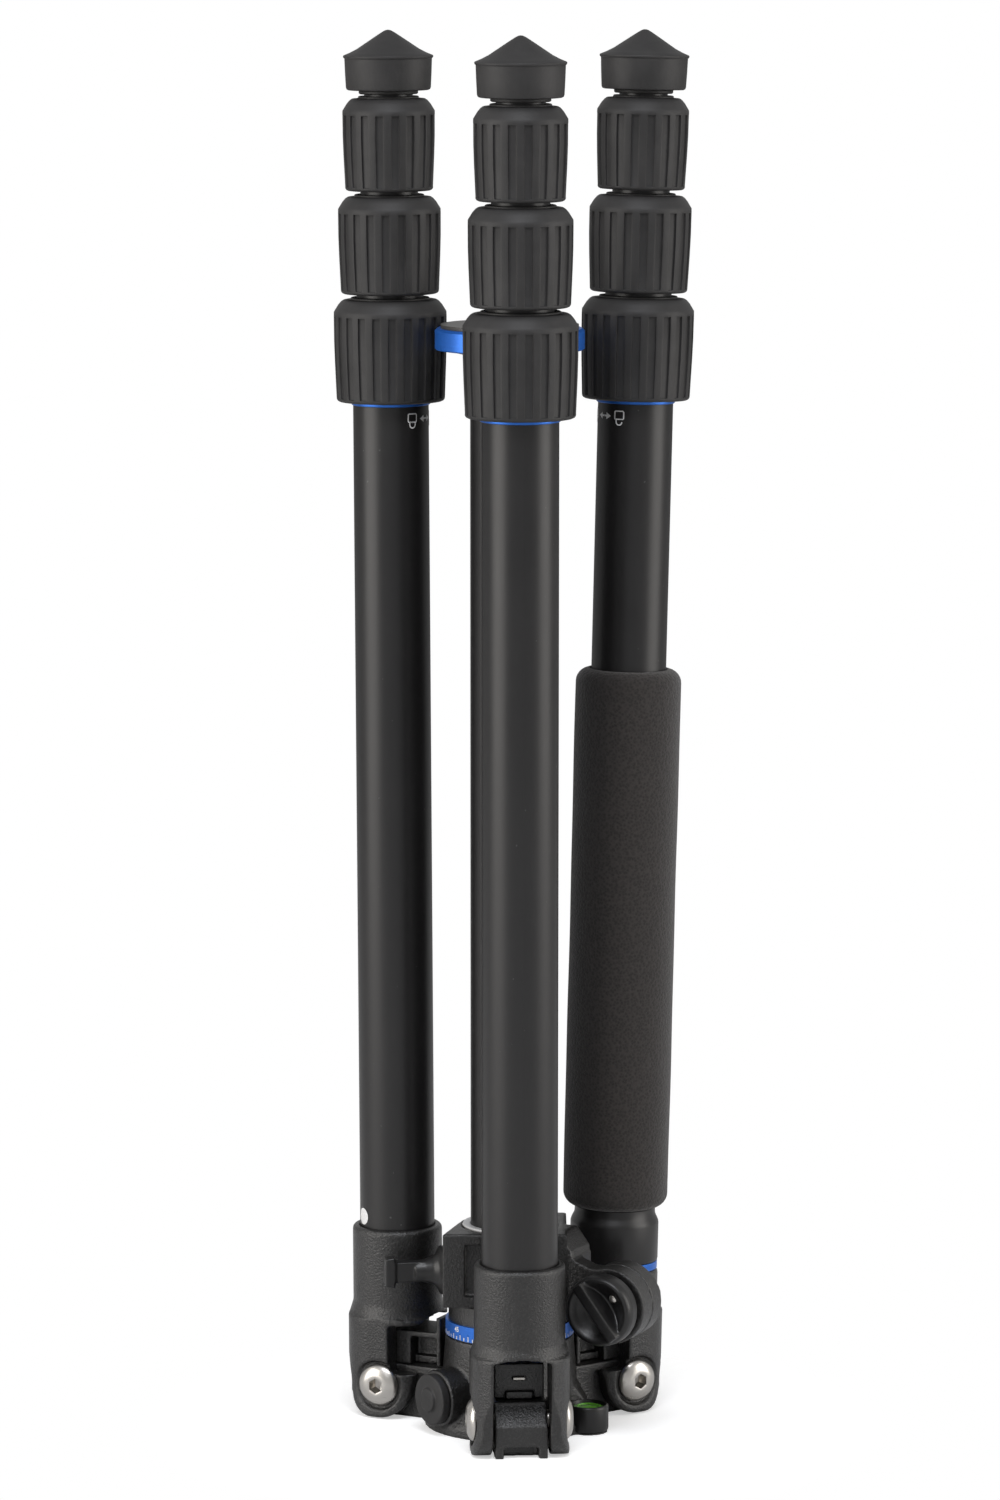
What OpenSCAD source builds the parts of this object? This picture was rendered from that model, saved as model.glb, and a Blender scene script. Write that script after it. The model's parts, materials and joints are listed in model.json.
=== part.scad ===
// Folding travel tripod, stored upside down: legs folded up round the raised centre column.
// The origin is on the column's axis in the plane that the shoulder rests on.

/* [Stance] */
// Gap between the platform and the first locks of the folded plain legs
fold_gap = 0.5; // [0.4:0.1:18]
// Height of the leg pivots above the resting plane
pivot_height = 11.5; // [11.5:0.1:14]
// Turn of the whole stance about the column
stance_yaw = 4.5; // [0:0.5:30]
// Outward lean of a folded plain leg, in degrees
plain_lean = 0.35; // [0.2:0.05:2]
// Outward lean of the folded leg with the foam grip, in degrees
grip_lean = 1.6; // [1.2:0.1:3]

/* [Leg tubes] */
// Outer diameter of the first leg section
leg_tube_d = 25; // [24:0.5:26]
// How much thinner each further section is
section_step = 3; // [2.8:0.1:3.2]
// Wall of the leg tubes
leg_wall = 1.2; // [1:0.1:1.3]
// Height of the first lock's rim above the pivots
lock_station = 329.5; // [325:1:360]
// Depth of each tube's seat in its socket or lock
tube_seat = 17; // [14:0.5:18]
// Length of the shim sleeve on the inner end of a sliding tube
shim_l = 20; // [10:1:30]

/* [Locks] */
// Largest diameter of the first lock
lock_1_d = 37.2; // [35:0.1:37.2]
// How much smaller each further lock is
lock_d_step = 3.4; // [3:0.1:3.6]
// Height of the first lock
lock_1_h = 34.3; // [33:0.1:38]
// How much shorter each further lock is
lock_h_step = 1.7; // [0:0.1:2]
// Gap between one lock and the next
lock_gap = 1.2; // [0.8:0.1:3]
// Number of ribs round a lock
rib_count = 22; // [12:1:24]
// Depth of the grooves between the ribs
rib_depth = 0.8; // [0.3:0.1:1]
// Height of the blue ring under the first lock
trim_ring_h = 2; // [1:0.1:4]

/* [Knuckles and pivots] */
// Outer diameter of the socket that holds the first tube
socket_d = 30; // [29:0.1:31]
// Height of a plain leg's socket rim above its pivot
socket_top = 52.5; // [45:0.5:60]
// Height of the short socket on the detachable leg
short_socket_top = 36.5; // [34:0.5:40]
// Overall width of the fork along its pivot
fork_w = 32.5; // [32:0.1:33]
// Radius of the fork's end round its pivot
fork_end_r = 11.2; // [10.8:0.1:11.3]
// Width of the window between the cheeks
window_w = 18.8; // [18.4:0.1:19.5]
// Height of the window's top above the pivot
window_top = 21.5; // [21:0.1:22]
// Diameter of the sleeve nut that the leg turns on
pivot_d = 7; // [6:0.1:7.4]
// Diameter of the screw in the sleeve nut
pivot_screw_d = 5; // [4:0.1:5]
// Diameter of the pivots' button heads
button_d = 14; // [12:0.1:14.5]
// Height of a button head
button_h = 4.15; // [3.5:0.05:4.5]
// Hexagon of the button heads across its corners
hex_d = 5; // [4:0.1:6]

/* [Grip and coupler] */
// Diameter of the foam grip
foam_d = 35.2; // [32:0.1:35.2]
// Length of the foam grip
foam_l = 182; // [120:1:240]
// Diameter of the coupler sleeve of the detachable leg
coupler_d = 29.5; // [28:0.1:30]
// Height of the coupler sleeve
coupler_h = 19.5; // [15:0.5:25]
// Height of the blue coupler ring
coupler_ring_h = 2.5; // [1.5:0.1:4]

/* [Foot] */
// Diameter of the foot at the base of its cone
foot_d = 29.5; // [26:0.1:30]
// Height of the foot's drum
foot_drum_h = 11.4; // [8:0.1:14]
// Height of the foot's cone
foot_cone_h = 8.4; // [6:0.1:12]
// Height of the neck under the foot
foot_neck_h = 1.2; // [0.8:0.1:4]

/* [Shoulder] */
// Height of the spider
spider_h = 30.5; // [30:0.1:31]
// Width of a lug between the cheeks
lug_w = 17.4; // [16.5:0.1:17.8]
// Diameter of the bore that the column passes through
shoulder_bore_d = 29; // [28.6:0.1:30]
// Travel of an angle stop
stop_travel = 2.5; // [1.5:0.1:2.5]
// Diameter of the bubble level
level_d = 13.5; // [12:0.1:14]
// Diameter of the accessory port's plug
plug_d = 17; // [15:0.1:18]

/* [Turntable and collar] */
// Height of the scale ring
scale_ring_h = 5; // [4:0.1:5.2]
// Diameter of the scale ring
scale_ring_d = 42.8; // [42:0.1:44]
// Height of the turntable above the spider
turntable_h = 12.3; // [12:0.1:13]
// Height of the column collar
collar_h = 23.4; // [21:0.1:25]
// Diameter of the tilt hinge's barrel
barrel_d = 25.4; // [24:0.1:25.6]
// Distance of the tilt hinge from the column's axis
tilt_radius = 39.7; // [39:0.1:40.5]
// Thickness of one ear of the tilt hinge
ear_w = 7.5; // [7:0.1:8]
// Diameter of the tilt knob
tilt_knob_d = 24; // [20:0.1:24]
// Depth of the tilt knob
tilt_knob_h = 9.5; // [8:0.1:10]
// Diameter of the column knob's flange
column_knob_d = 16.7; // [14:0.1:18]
// Length of the column knob from the collar
column_knob_l = 21; // [18:0.5:22]

/* [Column and platform] */
// Outer diameter of the centre column
column_d = 26; // [25:0.1:26.2]
// Wall of the centre column
column_wall = 1.5; // [1:0.1:2]
// Length of the centre column's tube
column_l = 314.6; // [312:0.1:340]
// Diameter of the camera platform
platform_d = 49; // [44:0.1:49]
// Height of the blue platform ring
platform_ring_h = 7; // [5:0.1:9]
// Diameter of the camera stud, 3/8 inch
camera_stud_d = 9.525; // [6.35:0.005:9.525]
// Length of the camera stud above the pad
camera_stud_l = 9; // [5:0.5:12]

/* [Hidden] */
$fn = 64;
// Gap of a piece that turns or slides on another
run_gap = 0.06;
// Gap between curved pieces of different bodies
clear_gap = 0.3;
// Overrun of a cut past the face that it opens
over = 0.5;

// The three legs, front, right (foam grip) and left, and their azimuths
FRONT = 0;
RIGHT = 1;
LEFT = 2;
turn = 360;
front_azimuth = 270;
leg_azimuth = [for (leg = [FRONT : LEFT]) front_azimuth + stance_yaw + leg * turn / 3];
leg_lean = [plain_lean, grip_lean, plain_lean];
gap_azimuth = turn / 6;

// Distance from the column's axis to each leg's pivot, which makes room for the platform
pivot_radius = (platform_d + lock_1_d) / 2 + fold_gap - (lock_station + lock_1_h / 2) * tan(plain_lean);

// Outer radius of the tube of a section, counted from 0
function tube_r(section) = (leg_tube_d - section * section_step) / 2;
function tube_bore_r(section) = tube_r(section) - leg_wall;
function lock_h(lock) = lock_1_h - lock * lock_h_step;
function lock_r(lock) = (lock_1_d - lock * lock_d_step) / 2;
// Height of a lock's rim above the pivot
function lock_z(lock) = lock == 0 ? lock_station : lock_z(lock - 1) + lock_h(lock - 1) + lock_gap;

// Knuckle
socket_web_t = 4;
socket_floor = window_top + socket_web_t;
flare_h = 4;
flare_r = fork_w / 2;
fork_toe_x = 2.6;
fork_half_depth = 15.5;
fork_corner_r = 13;
fork_straight_h = 8;
bead_r = 1.6;
arch_r = 26;
arch_rise = 1.7;
cheek_cut_x = 4;
cheek_cut_low = 4;
cheek_cut_high = 22.5;
button_clearance = 1.4;
counterbore_d = button_d + 2 * button_clearance;
button_seat = 14.5;
pivot_bore_r = pivot_d / 2 + run_gap;
hex_depth = 2.6;

// Outline of a lug in the plane of its leg, seen from the pivot
lug_top = 6.3;
lug_step = 5.2;
lug_step_x = 2.5;
lug_front = 8.5;
lug_front_top = -0.8;
lug_root_r = 19;
lug_root = pivot_radius - lug_root_r;
lug_notch_w = 11.4;
lug_notch_h = 3.9;
lug_notch_x = 4;

// Angle stop
stop_w = 17;
stop_wing_w = 26;
stop_root_r = 23.4;
stop_inner = pivot_radius - stop_root_r;
stop_edge = 1;
stop_wing_gap = 0.7;
stop_wing_x = fork_end_r + stop_travel + clear_gap + stop_wing_gap;
stop_grip_x = 11.5;
stop_grip_top = 18.5;
stop_tongue_top = 11.4;

// Spider's hub
hub_base_r = 28.5;
hub_base_h = 3;
hub_waist_r = 22.6;
hub_waist_z = 14;
hub_top_r = 21.4;
bearing_r = 17;
bearing_h = 5;
boss_r = plug_d / 2 + 1;
boss_reach = 29.5;
boss_z = 12;
plug_t = 3;
plug_disc_d = 8;
plug_disc_t = 1;
plug_stem_d = 8.4;
plug_stem_l = 6;
level_radius = 29;
level_floor = 0.5;
level_h = 8.8;
level_wall = 1.5;
level_base = 1.4;
vial_drop = 0.8;

// Turntable, washer and scale ring
washer_t = 0.5;
flange_z = spider_h + washer_t;
turntable_top = spider_h + turntable_h;
flange_r = scale_ring_d / 2 - 1;
washer_r = 20;
tilt_rise = 2.2;
tilt_z = turntable_top + tilt_rise;
tilt_azimuth = front_azimuth + stance_yaw + gap_azimuth;
plug_azimuth = front_azimuth + stance_yaw - gap_azimuth;
tilt_pin_d = 6;
ear_gap = 0.1;
tick_count = 72;
tick_w = 0.35;
tick_depth = 0.15;
tick_h = 1.5;
long_tick_h = 2.4;

// Collar
collar_seat_gap = 0.2;
collar_z = turntable_top + collar_seat_gap;
collar_top = collar_z + collar_h;
liner_r = 16.4;
liner_lip = 0.4;
liner_lip_h = 1;
liner_body_r = 15;
collar_front = 17.5;
collar_left = 22.4;
collar_back_left = 15.8;
collar_back = 17.5;
collar_mid = 6.4;
collar_right = 19;
collar_edge_r = 1.5;
recess_x = 15;
recess_w = 17;
recess_low = 3.5;
recess_h = 16.4;
recess_depth = 2.5;
collar_root_r = 16.5;
collar_arm_root = tilt_radius - collar_root_r;

// Knobs
knob_azimuth = 190;
knob_height_share = 0.42;
knob_z = collar_z + collar_h * knob_height_share;
knob_start = 21.3;
knob_boss_rim = 0.5;
knob_boss_r = column_knob_d / 2 + knob_boss_rim;
knob_boss_l = 6;
knob_neck_l = 8;
knob_fin_h = 10.4;
knob_fin_t = 5;
knob_tip_r = 3;
knob_stud_d = 6;
knob_stud_l = 5;
tilt_fin_w = 6.6;
tilt_scoop_r = 11;
tilt_fin_turn = 128;
tilt_washer_r = 6.2;
tilt_washer_t = 1.2;
tilt_nut_r = 5.5;
tilt_nut_t = 3;
tilt_recess_r = 6.4;
tilt_recess_t = 3.2;

// Column and platform
stop_cap_h = 3.2;
stop_cap_step = 0.9;
stop_cap_r = column_d / 2 + stop_cap_step;
column_z = collar_z - clear_gap;
column_top = column_z + column_l;
platform_rise = 2.2;
platform_z = column_top + platform_rise;
platform_top = platform_z + platform_ring_h;
platform_ring_t = 2.6;
platform_core_r = platform_d / 2 - platform_ring_t;
platform_chamfer = 0.8;
platform_under_t = 2.2;
spigot_l = 14;
pad_t = 1.2;
pad_inset = 1.9;
stud_seat = 6;
stud_stem_d = 8;

// Foam and foot
foam_start = short_socket_top + coupler_ring_h + coupler_h - 1;
foam_end_r = 4.5;
foot_neck_r = 9.75;
foot_rim_step = 0.4;
foot_rim_r = foot_d / 2 - foot_rim_step;
foot_gap = 0.6;
foot_z = lock_z(2) + lock_h(2) + foot_gap;
foot_seat = 12;
foot_tip_r = 1.5;

LEG_PARTS = ["knuckle", "upper_tube", "trim_ring", "lock_1", "tube_2", "lock_2", "tube_3", "lock_3",
             "tube_4", "foot", "angle_stop"];

// Puts a shape that stands on its pivot at the place of one leg
module at_leg(leg) {
    rotate([0, 0, leg_azimuth[leg]])
        translate([pivot_radius, 0, pivot_height])
            rotate([0, leg_lean[leg], 0])
                children();
}

// Puts a shape at a leg's pivot without the leg's lean
module at_pivot(leg) {
    rotate([0, 0, leg_azimuth[leg]])
        translate([pivot_radius, 0, pivot_height])
            children();
}

// Extrudes an outline drawn in the plane of a leg, centred across it
module across(width) {
    rotate([90, 0, 0])
        linear_extrude(width, center = true)
            children();
}

// Rectangle with round corners, centred
module round_rect(x, y, r) {
    square([x, y - 2 * r], center = true);
    square([x - 2 * r, y], center = true);
    for (sx = [-1, 1], sy = [-1, 1])
        translate([sx * (x / 2 - r), sy * (y / 2 - r)])
            circle(r);
}

// Ring of a rectangular section that starts at a height
module ring(outer, inner, z, h) {
    translate([0, 0, z])
        difference() {
            cylinder(r = outer, h = h);
            translate([0, 0, -over])
                cylinder(r = inner, h = h + 2 * over);
        }
}

// Socket and flare in one turned form with a rounded rim
module socket_form(top) {
    rotate_extrude() {
        polygon([[0, cheek_cut_high - flare_h], [flare_r, cheek_cut_high - flare_h],
                 [flare_r, cheek_cut_high], [socket_d / 2, cheek_cut_high + flare_h],
                 [socket_d / 2, top - bead_r], [0, top - bead_r]]);
        square([socket_d / 2 - bead_r, top]);
        translate([socket_d / 2 - bead_r, top - bead_r])
            circle(bead_r);
    }
}

// Two cheeks as one block, before the window is cut
module fork_form() {
    intersection() {
        across(fork_w)
            union() {
                hull() {
                    circle(fork_end_r);
                    translate([fork_toe_x, -fork_toe_x])
                        circle(fork_end_r - fork_toe_x);
                }
                polygon([[-fork_end_r, 0], [fork_end_r, 0], [fork_half_depth, fork_straight_h * 2],
                         [fork_half_depth, cheek_cut_high], [-fork_half_depth, cheek_cut_high],
                         [-fork_half_depth, fork_straight_h * 2]]);
            }
        translate([0, 0, -fork_end_r - over])
            linear_extrude(fork_end_r + cheek_cut_high + over)
                round_rect(2 * fork_half_depth, fork_w, fork_corner_r);
    }
}

module knuckle(leg) {
    top = leg == RIGHT ? short_socket_top : socket_top;
    color([0.13, 0.13, 0.13])
        at_leg(leg)
            difference() {
                union() {
                    fork_form();
                    socket_form(top);
                }
                translate([-fork_w, -window_w / 2, -fork_w])
                    cube([2 * fork_w, window_w, fork_w + window_top]);
                intersection() {
                    translate([0, 0, window_top + arch_rise - arch_r])
                        rotate([0, 90, 0])
                            cylinder(r = arch_r, h = 2 * fork_w, center = true, $fn = 128);
                    translate([-fork_w, -window_w / 2, window_top - over])
                        cube([2 * fork_w, window_w, flare_h]);
                }
                translate([-fork_w - cheek_cut_x, -fork_w, cheek_cut_low])
                    cube([fork_w, 2 * fork_w, cheek_cut_high - cheek_cut_low - flare_h / 2]);
                rotate([90, 0, 0])
                    cylinder(r = pivot_bore_r, h = 2 * fork_w, center = true);
                for (side = [0, 180])
                    rotate([90, 0, side])
                        translate([0, 0, button_seat])
                            cylinder(d = counterbore_d, h = fork_w);
                translate([0, 0, socket_floor])
                    cylinder(r = tube_r(0) + run_gap, h = top);
            }
}

module upper_tube(leg) {
    color([0.16, 0.16, 0.17])
        at_leg(leg)
            ring(tube_r(0), tube_bore_r(0), socket_floor + run_gap,
                 lock_z(0) + tube_seat - socket_floor - run_gap);
}

module trim_ring(leg) {
    color([0.1, 0.33, 0.72])
        at_leg(leg)
            ring(tube_r(0) + clear_gap, tube_r(0) + run_gap / 2, lock_z(0) - trim_ring_h,
                 trim_ring_h - run_gap);
}

// Outline of a twist lock: a ribbed drum with a chamfered rim, a sloping shoulder and a neck
rim_inset = 2;
rim_h = 1.4;
shoulder_h = 4.6;
neck_inset = 3.3;
// Shoulder of a lock, from its drum to its neck: shares of the neck's inset and of the shoulder's height
shoulder_shares = [[0, 1], [0.09, 0.93], [0.42, 0.52], [0.7, 0.28], [1, 0.15], [1, 0]];
lock_waist = 0.7;
drum_swell_share = 0.25;
ribs_step = 2;
function ribs(lock) = rib_count - lock * ribs_step;
groove_low = 3;
groove_high = 9.5;
groove_share = 0.48;
collet_low = 1;
collet_top = 4;

module lock_form(lock) {
    h = lock_h(lock);
    r = lock_r(lock);
    rotate_extrude()
        polygon(concat([[tube_r(lock) + 2 * run_gap, 0], [r - rim_inset, 0], [r - lock_waist, rim_h],
                        [r - lock_waist * drum_swell_share, h / 2]],
                       [for (share = shoulder_shares) [r - neck_inset * share[0], h - shoulder_h * share[1]]],
                       [[tube_r(lock + 1) + clear_gap, h], [tube_r(lock + 1) + clear_gap, h - collet_top],
                        [tube_r(lock) + 2 * run_gap, h - collet_top]]));
}

// Twist lock with its ribbed grip and the split collet inside it
module lock(leg, lock) {
    h = lock_h(lock);
    r = lock_r(lock);
    groove_w = 2 * PI * r / ribs(lock) * groove_share;
    groove_h = h - groove_high;
    color([0.15, 0.15, 0.16])
        at_leg(leg)
            translate([0, 0, lock_z(lock)]) {
                difference() {
                    lock_form(lock);
                    for (rib = [0 : ribs(lock) - 1])
                        rotate([0, 0, rib * turn / ribs(lock)])
                            translate([r - rib_depth, -groove_w / 2, groove_low])
                                cube([rib_depth + over, groove_w, groove_h]);
                }
                collet(lock);
            }
}

collet_slots = 3;
collet_slot_w = 2;

module collet(lock) {
    low = tube_seat + collet_low;
    l = lock_h(lock) - collet_top - collet_low - low;
    difference() {
        ring(tube_r(lock), tube_r(lock + 1) + run_gap, low, l);
        for (slot = [0 : collet_slots - 1])
            rotate([0, 0, slot * turn / collet_slots])
                translate([0, -collet_slot_w / 2, low + l / 3])
                    cube([leg_tube_d, collet_slot_w, l]);
    }
}

// Sliding tube of section 1, 2 or 3 (counted from 0) with the shim sleeve on its inner end
module inner_tube(leg, section) {
    start = socket_floor + section * section_step;
    end = section == 3 ? foot_z + foot_seat : lock_z(section) + tube_seat;
    color([0.2, 0.2, 0.21])
        at_leg(leg) {
            ring(tube_r(section), tube_bore_r(section), start, end - start);
            ring(tube_bore_r(section - 1) - run_gap, tube_r(section) + run_gap / 3, start, shim_l);
        }
}

module foot(leg) {
    tip_z = foot_z + foot_neck_h + foot_drum_h + foot_cone_h;
    color([0.14, 0.14, 0.14])
        at_leg(leg)
            difference() {
                rotate_extrude()
                    polygon([[0, foot_z], [foot_neck_r, foot_z], [foot_neck_r, foot_z + foot_neck_h],
                             [foot_rim_r, foot_z + foot_neck_h],
                             [foot_d / 2, foot_z + foot_neck_h + foot_drum_h],
                             [foot_tip_r, tip_z - foot_tip_r / 3], [foot_tip_r / 2, tip_z], [0, tip_z]]);
                translate([0, 0, foot_z - over])
                    cylinder(r = tube_r(3) + run_gap, h = foot_seat + over + run_gap);
            }
}

// Sprung tab between the cheeks: a grip with two wings and a tongue that runs on the lug
module angle_stop(leg) {
    low = lug_top + run_gap;
    color([0.1, 0.1, 0.1])
        at_pivot(leg)
            union() {
                across(stop_w)
                    polygon([[-stop_inner, low], [0, low], [0, stop_tongue_top - stop_edge],
                             [-stop_edge, stop_tongue_top],
                             [-stop_grip_x + stop_edge, stop_tongue_top],
                             [-stop_grip_x, stop_tongue_top + stop_edge],
                             [-stop_grip_x, stop_grip_top - stop_edge],
                             [-stop_grip_x - stop_edge, stop_grip_top], [-stop_inner, stop_grip_top]]);
                across(stop_wing_w)
                    polygon([[-stop_inner, low], [-stop_wing_x, low], [-stop_wing_x, stop_grip_top],
                             [-stop_inner, stop_grip_top]]);
            }
}

module foam_grip() {
    outer = foam_d / 2;
    inner = tube_r(0) + clear_gap / 2;
    top = foam_start + foam_l;
    color([0.11, 0.1, 0.1])
        at_leg(RIGHT)
            rotate_extrude() {
                polygon([[inner, foam_start], [outer - foam_end_r, foam_start],
                         [outer - foam_end_r / 3, foam_start + foam_end_r / 3],
                         [outer, foam_start + foam_end_r], [outer, top - foam_end_r],
                         [outer - foam_end_r / 3, top - foam_end_r / 3],
                         [outer - foam_end_r, top], [inner, top]]);
            }
}

coupler_fit = 0.05;
coupler_bore_r = leg_tube_d / 2 + coupler_fit;
coupler_chamfer = 1.4;

module coupler_sleeve() {
    low = short_socket_top + coupler_ring_h + run_gap;
    top = foam_start - run_gap;
    color([0.14, 0.14, 0.14])
        at_leg(RIGHT)
            rotate_extrude()
                polygon([[coupler_bore_r, low], [coupler_d / 2, low],
                         [coupler_d / 2, top - coupler_chamfer],
                         [coupler_d / 2 - coupler_chamfer, top], [coupler_bore_r, top]]);
}

module coupler_ring() {
    color([0.1, 0.33, 0.72])
        at_leg(RIGHT)
            ring(coupler_d / 2 - run_gap, coupler_bore_r, short_socket_top + run_gap / 2,
                 coupler_ring_h);
}

// Radial lug of the spider, with its stepped top and the notch under its end
module lug(leg) {
    at_pivot(leg)
        difference() {
            across(lug_w)
                polygon([[-lug_root, -pivot_height], [lug_front, -pivot_height],
                         [lug_front, lug_front_top], [lug_step_x, lug_step], [lug_step_x, lug_top],
                         [-lug_root, lug_top]]);
            translate([lug_notch_x, -lug_notch_w / 2, -pivot_height - over])
                cube([lug_front, lug_notch_w, lug_notch_h + over]);
        }
}

module spider() {
    color([0.12, 0.12, 0.12])
        difference() {
            union() {
                rotate_extrude()
                    polygon([[0, 0], [hub_base_r, 0], [hub_base_r, hub_base_h],
                             [hub_waist_r, hub_waist_z], [hub_top_r, spider_h], [0, spider_h]]);
                for (leg = [FRONT : LEFT])
                    lug(leg);
                rotate([0, 0, plug_azimuth])
                    translate([0, 0, boss_z])
                        rotate([0, 90, 0])
                            cylinder(r = boss_r, h = boss_reach);
                rotate([0, 0, tilt_azimuth])
                    translate([level_radius, 0, 0])
                        cylinder(d = level_d, h = level_floor);
            }
            translate([0, 0, -over])
                cylinder(d = shoulder_bore_d, h = spider_h + 2 * over);
            translate([0, 0, spider_h - bearing_h])
                cylinder(r = bearing_r + run_gap, h = bearing_h + over);
            for (leg = [FRONT : LEFT])
                at_pivot(leg)
                    rotate([90, 0, 0])
                        cylinder(r = pivot_bore_r, h = fork_w, center = true);
            rotate([0, 0, plug_azimuth])
                translate([boss_reach - plug_stem_l, 0, boss_z])
                    rotate([0, 90, 0])
                        cylinder(d = plug_stem_d, h = plug_stem_l + over);
            rotate([0, 0, tilt_azimuth])
                translate([level_radius, 0, level_floor])
                    cylinder(r = level_d / 2 + run_gap, h = spider_h);
        }
}

// Turned outline of a button head: shares of its diameter and of its height
head_shares = [[0, 0], [0.5, 0], [0.5, 0.3], [0.44, 0.62], [0.3, 0.94], [0.15, 1], [0, 1]];

// Domed button head whose seat is at zero and whose socket opens upwards
module button_head() {
    difference() {
        rotate_extrude()
            polygon([for (share = head_shares) [button_d * share[0], button_h * share[1]]]);
        translate([0, 0, button_h - hex_depth])
            cylinder(d = hex_d, h = hex_depth + over, $fn = 6);
    }
}

// Sleeve nuts that the legs turn on
module pivot_sleeves() {
    color([0.75, 0.74, 0.72])
        for (leg = [FRONT : LEFT])
            at_pivot(leg) {
                rotate([90, 0, 0])
                    difference() {
                        union() {
                            translate([0, 0, button_seat])
                                button_head();
                            translate([0, 0, -button_seat + run_gap])
                                cylinder(d = pivot_d, h = 2 * button_seat);
                        }
                        translate([0, 0, -button_seat])
                            cylinder(r = pivot_screw_d / 2 + run_gap / 2, h = button_seat + over);
                    }
            }
}

module pivot_screws() {
    color([0.75, 0.74, 0.72])
        for (leg = [FRONT : LEFT])
            at_pivot(leg)
                rotate([-90, 0, 0]) {
                    translate([0, 0, button_seat])
                        button_head();
                    translate([0, 0, over])
                        cylinder(d = pivot_screw_d, h = button_seat);
                }
}

module level_cup() {
    color([0.1, 0.1, 0.1])
        rotate([0, 0, tilt_azimuth])
            translate([level_radius, 0, level_floor])
                difference() {
                    cylinder(d = level_d, h = level_h);
                    translate([0, 0, level_base])
                        cylinder(r = level_d / 2 - level_wall, h = level_h);
                }
}

module level_vial() {
    color([0.35, 0.75, 0.2])
        rotate([0, 0, tilt_azimuth])
            translate([level_radius, 0, level_floor + level_base])
                cylinder(r = level_d / 2 - level_wall - run_gap, h = level_h - level_base - vial_drop);
}

module accessory_plug() {
    color([0.11, 0.11, 0.11])
        rotate([0, 0, plug_azimuth])
            translate([boss_reach, 0, boss_z])
                rotate([0, 90, 0]) {
                    cylinder(d = plug_d, h = plug_t);
                    cylinder(d = plug_disc_d, h = plug_t + plug_disc_t);
                    translate([0, 0, run_gap - plug_stem_l])
                        cylinder(r = plug_stem_d / 2 - run_gap / 2, h = plug_stem_l);
                }
}

// Puts a shape drawn at the tilt hinge's centre in its place; X points away from the column
module at_tilt() {
    rotate([0, 0, tilt_azimuth])
        translate([tilt_radius, 0, tilt_z])
            children();
}

module turntable() {
    color([0.13, 0.13, 0.13])
        difference() {
            union() {
                translate([0, 0, flange_z])
                    cylinder(r = flange_r, h = turntable_top - flange_z);
                translate([0, 0, spider_h - bearing_h + run_gap])
                    cylinder(r = bearing_r, h = bearing_h + over);
                rotate([0, 0, tilt_azimuth])
                    translate([0, ear_gap / 2, flange_z + scale_ring_h + run_gap])
                        cube([tilt_radius, ear_w, turntable_top - flange_z - scale_ring_h - run_gap]);
                at_tilt()
                    rotate([90, 0, 180])
                        translate([0, 0, ear_gap / 2])
                            cylinder(d = barrel_d, h = ear_w);
            }
            translate([0, 0, -over])
                cylinder(d = shoulder_bore_d, h = collar_top);
            at_tilt()
                rotate([90, 0, 0])
                    cylinder(r = tilt_pin_d / 2 + run_gap / 2, h = 2 * barrel_d, center = true);
            at_tilt()
                rotate([90, 0, 180])
                    translate([0, 0, ear_gap / 2 + ear_w - tilt_recess_t])
                        cylinder(r = tilt_recess_r, h = tilt_recess_t + over);
        }
}

module scale_ring() {
    outer = scale_ring_d / 2;
    color([0.1, 0.33, 0.72])
        difference() {
            ring(outer, flange_r + run_gap / 2, flange_z + run_gap / 2, scale_ring_h);
            for (tick = [0 : tick_count - 1])
                rotate([0, 0, tick * turn / tick_count])
                    translate([outer - tick_depth, -tick_w / 2, flange_z - over])
                        cube([over, tick_w, over + (tick % 2 == 0 ? long_tick_h : tick_h)]);
        }
}

module friction_washer() {
    color([0.8, 0.78, 0.72])
        ring(washer_r, bearing_r + clear_gap, spider_h + run_gap / 2, washer_t - run_gap);
}

// Plan of the clamp block round the column
module collar_plan() {
    polygon([[-collar_left, -collar_front], [collar_right, -collar_front],
             [collar_right, collar_back], [-collar_back_left + collar_mid, collar_back],
             [-collar_back_left, collar_mid]]);
}

// The arm's upper edge, as shares of the barrel's diameter from the hinge
arm_sweep_shares = [[-0.1, 0.47], [-0.3, 0.48], [-0.5, 0.56]];
arm_neck_share = 0.66;
arm_top_share = 0.72;
arm_lip_h = 1.8;

// Arm that sweeps down from the collar's top to the hinge barrel, in the hinge's plane
module collar_arm() {
    top = collar_top - tilt_z;
    polygon(concat([[-collar_arm_root, collar_z - tilt_z], [0, collar_z - tilt_z]],
                   [for (share = arm_sweep_shares) barrel_d * share],
                   [[-barrel_d * arm_neck_share, top - arm_lip_h], [-barrel_d * arm_top_share, top],
                    [-collar_arm_root, top]]));
    circle(d = barrel_d);
}

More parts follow.
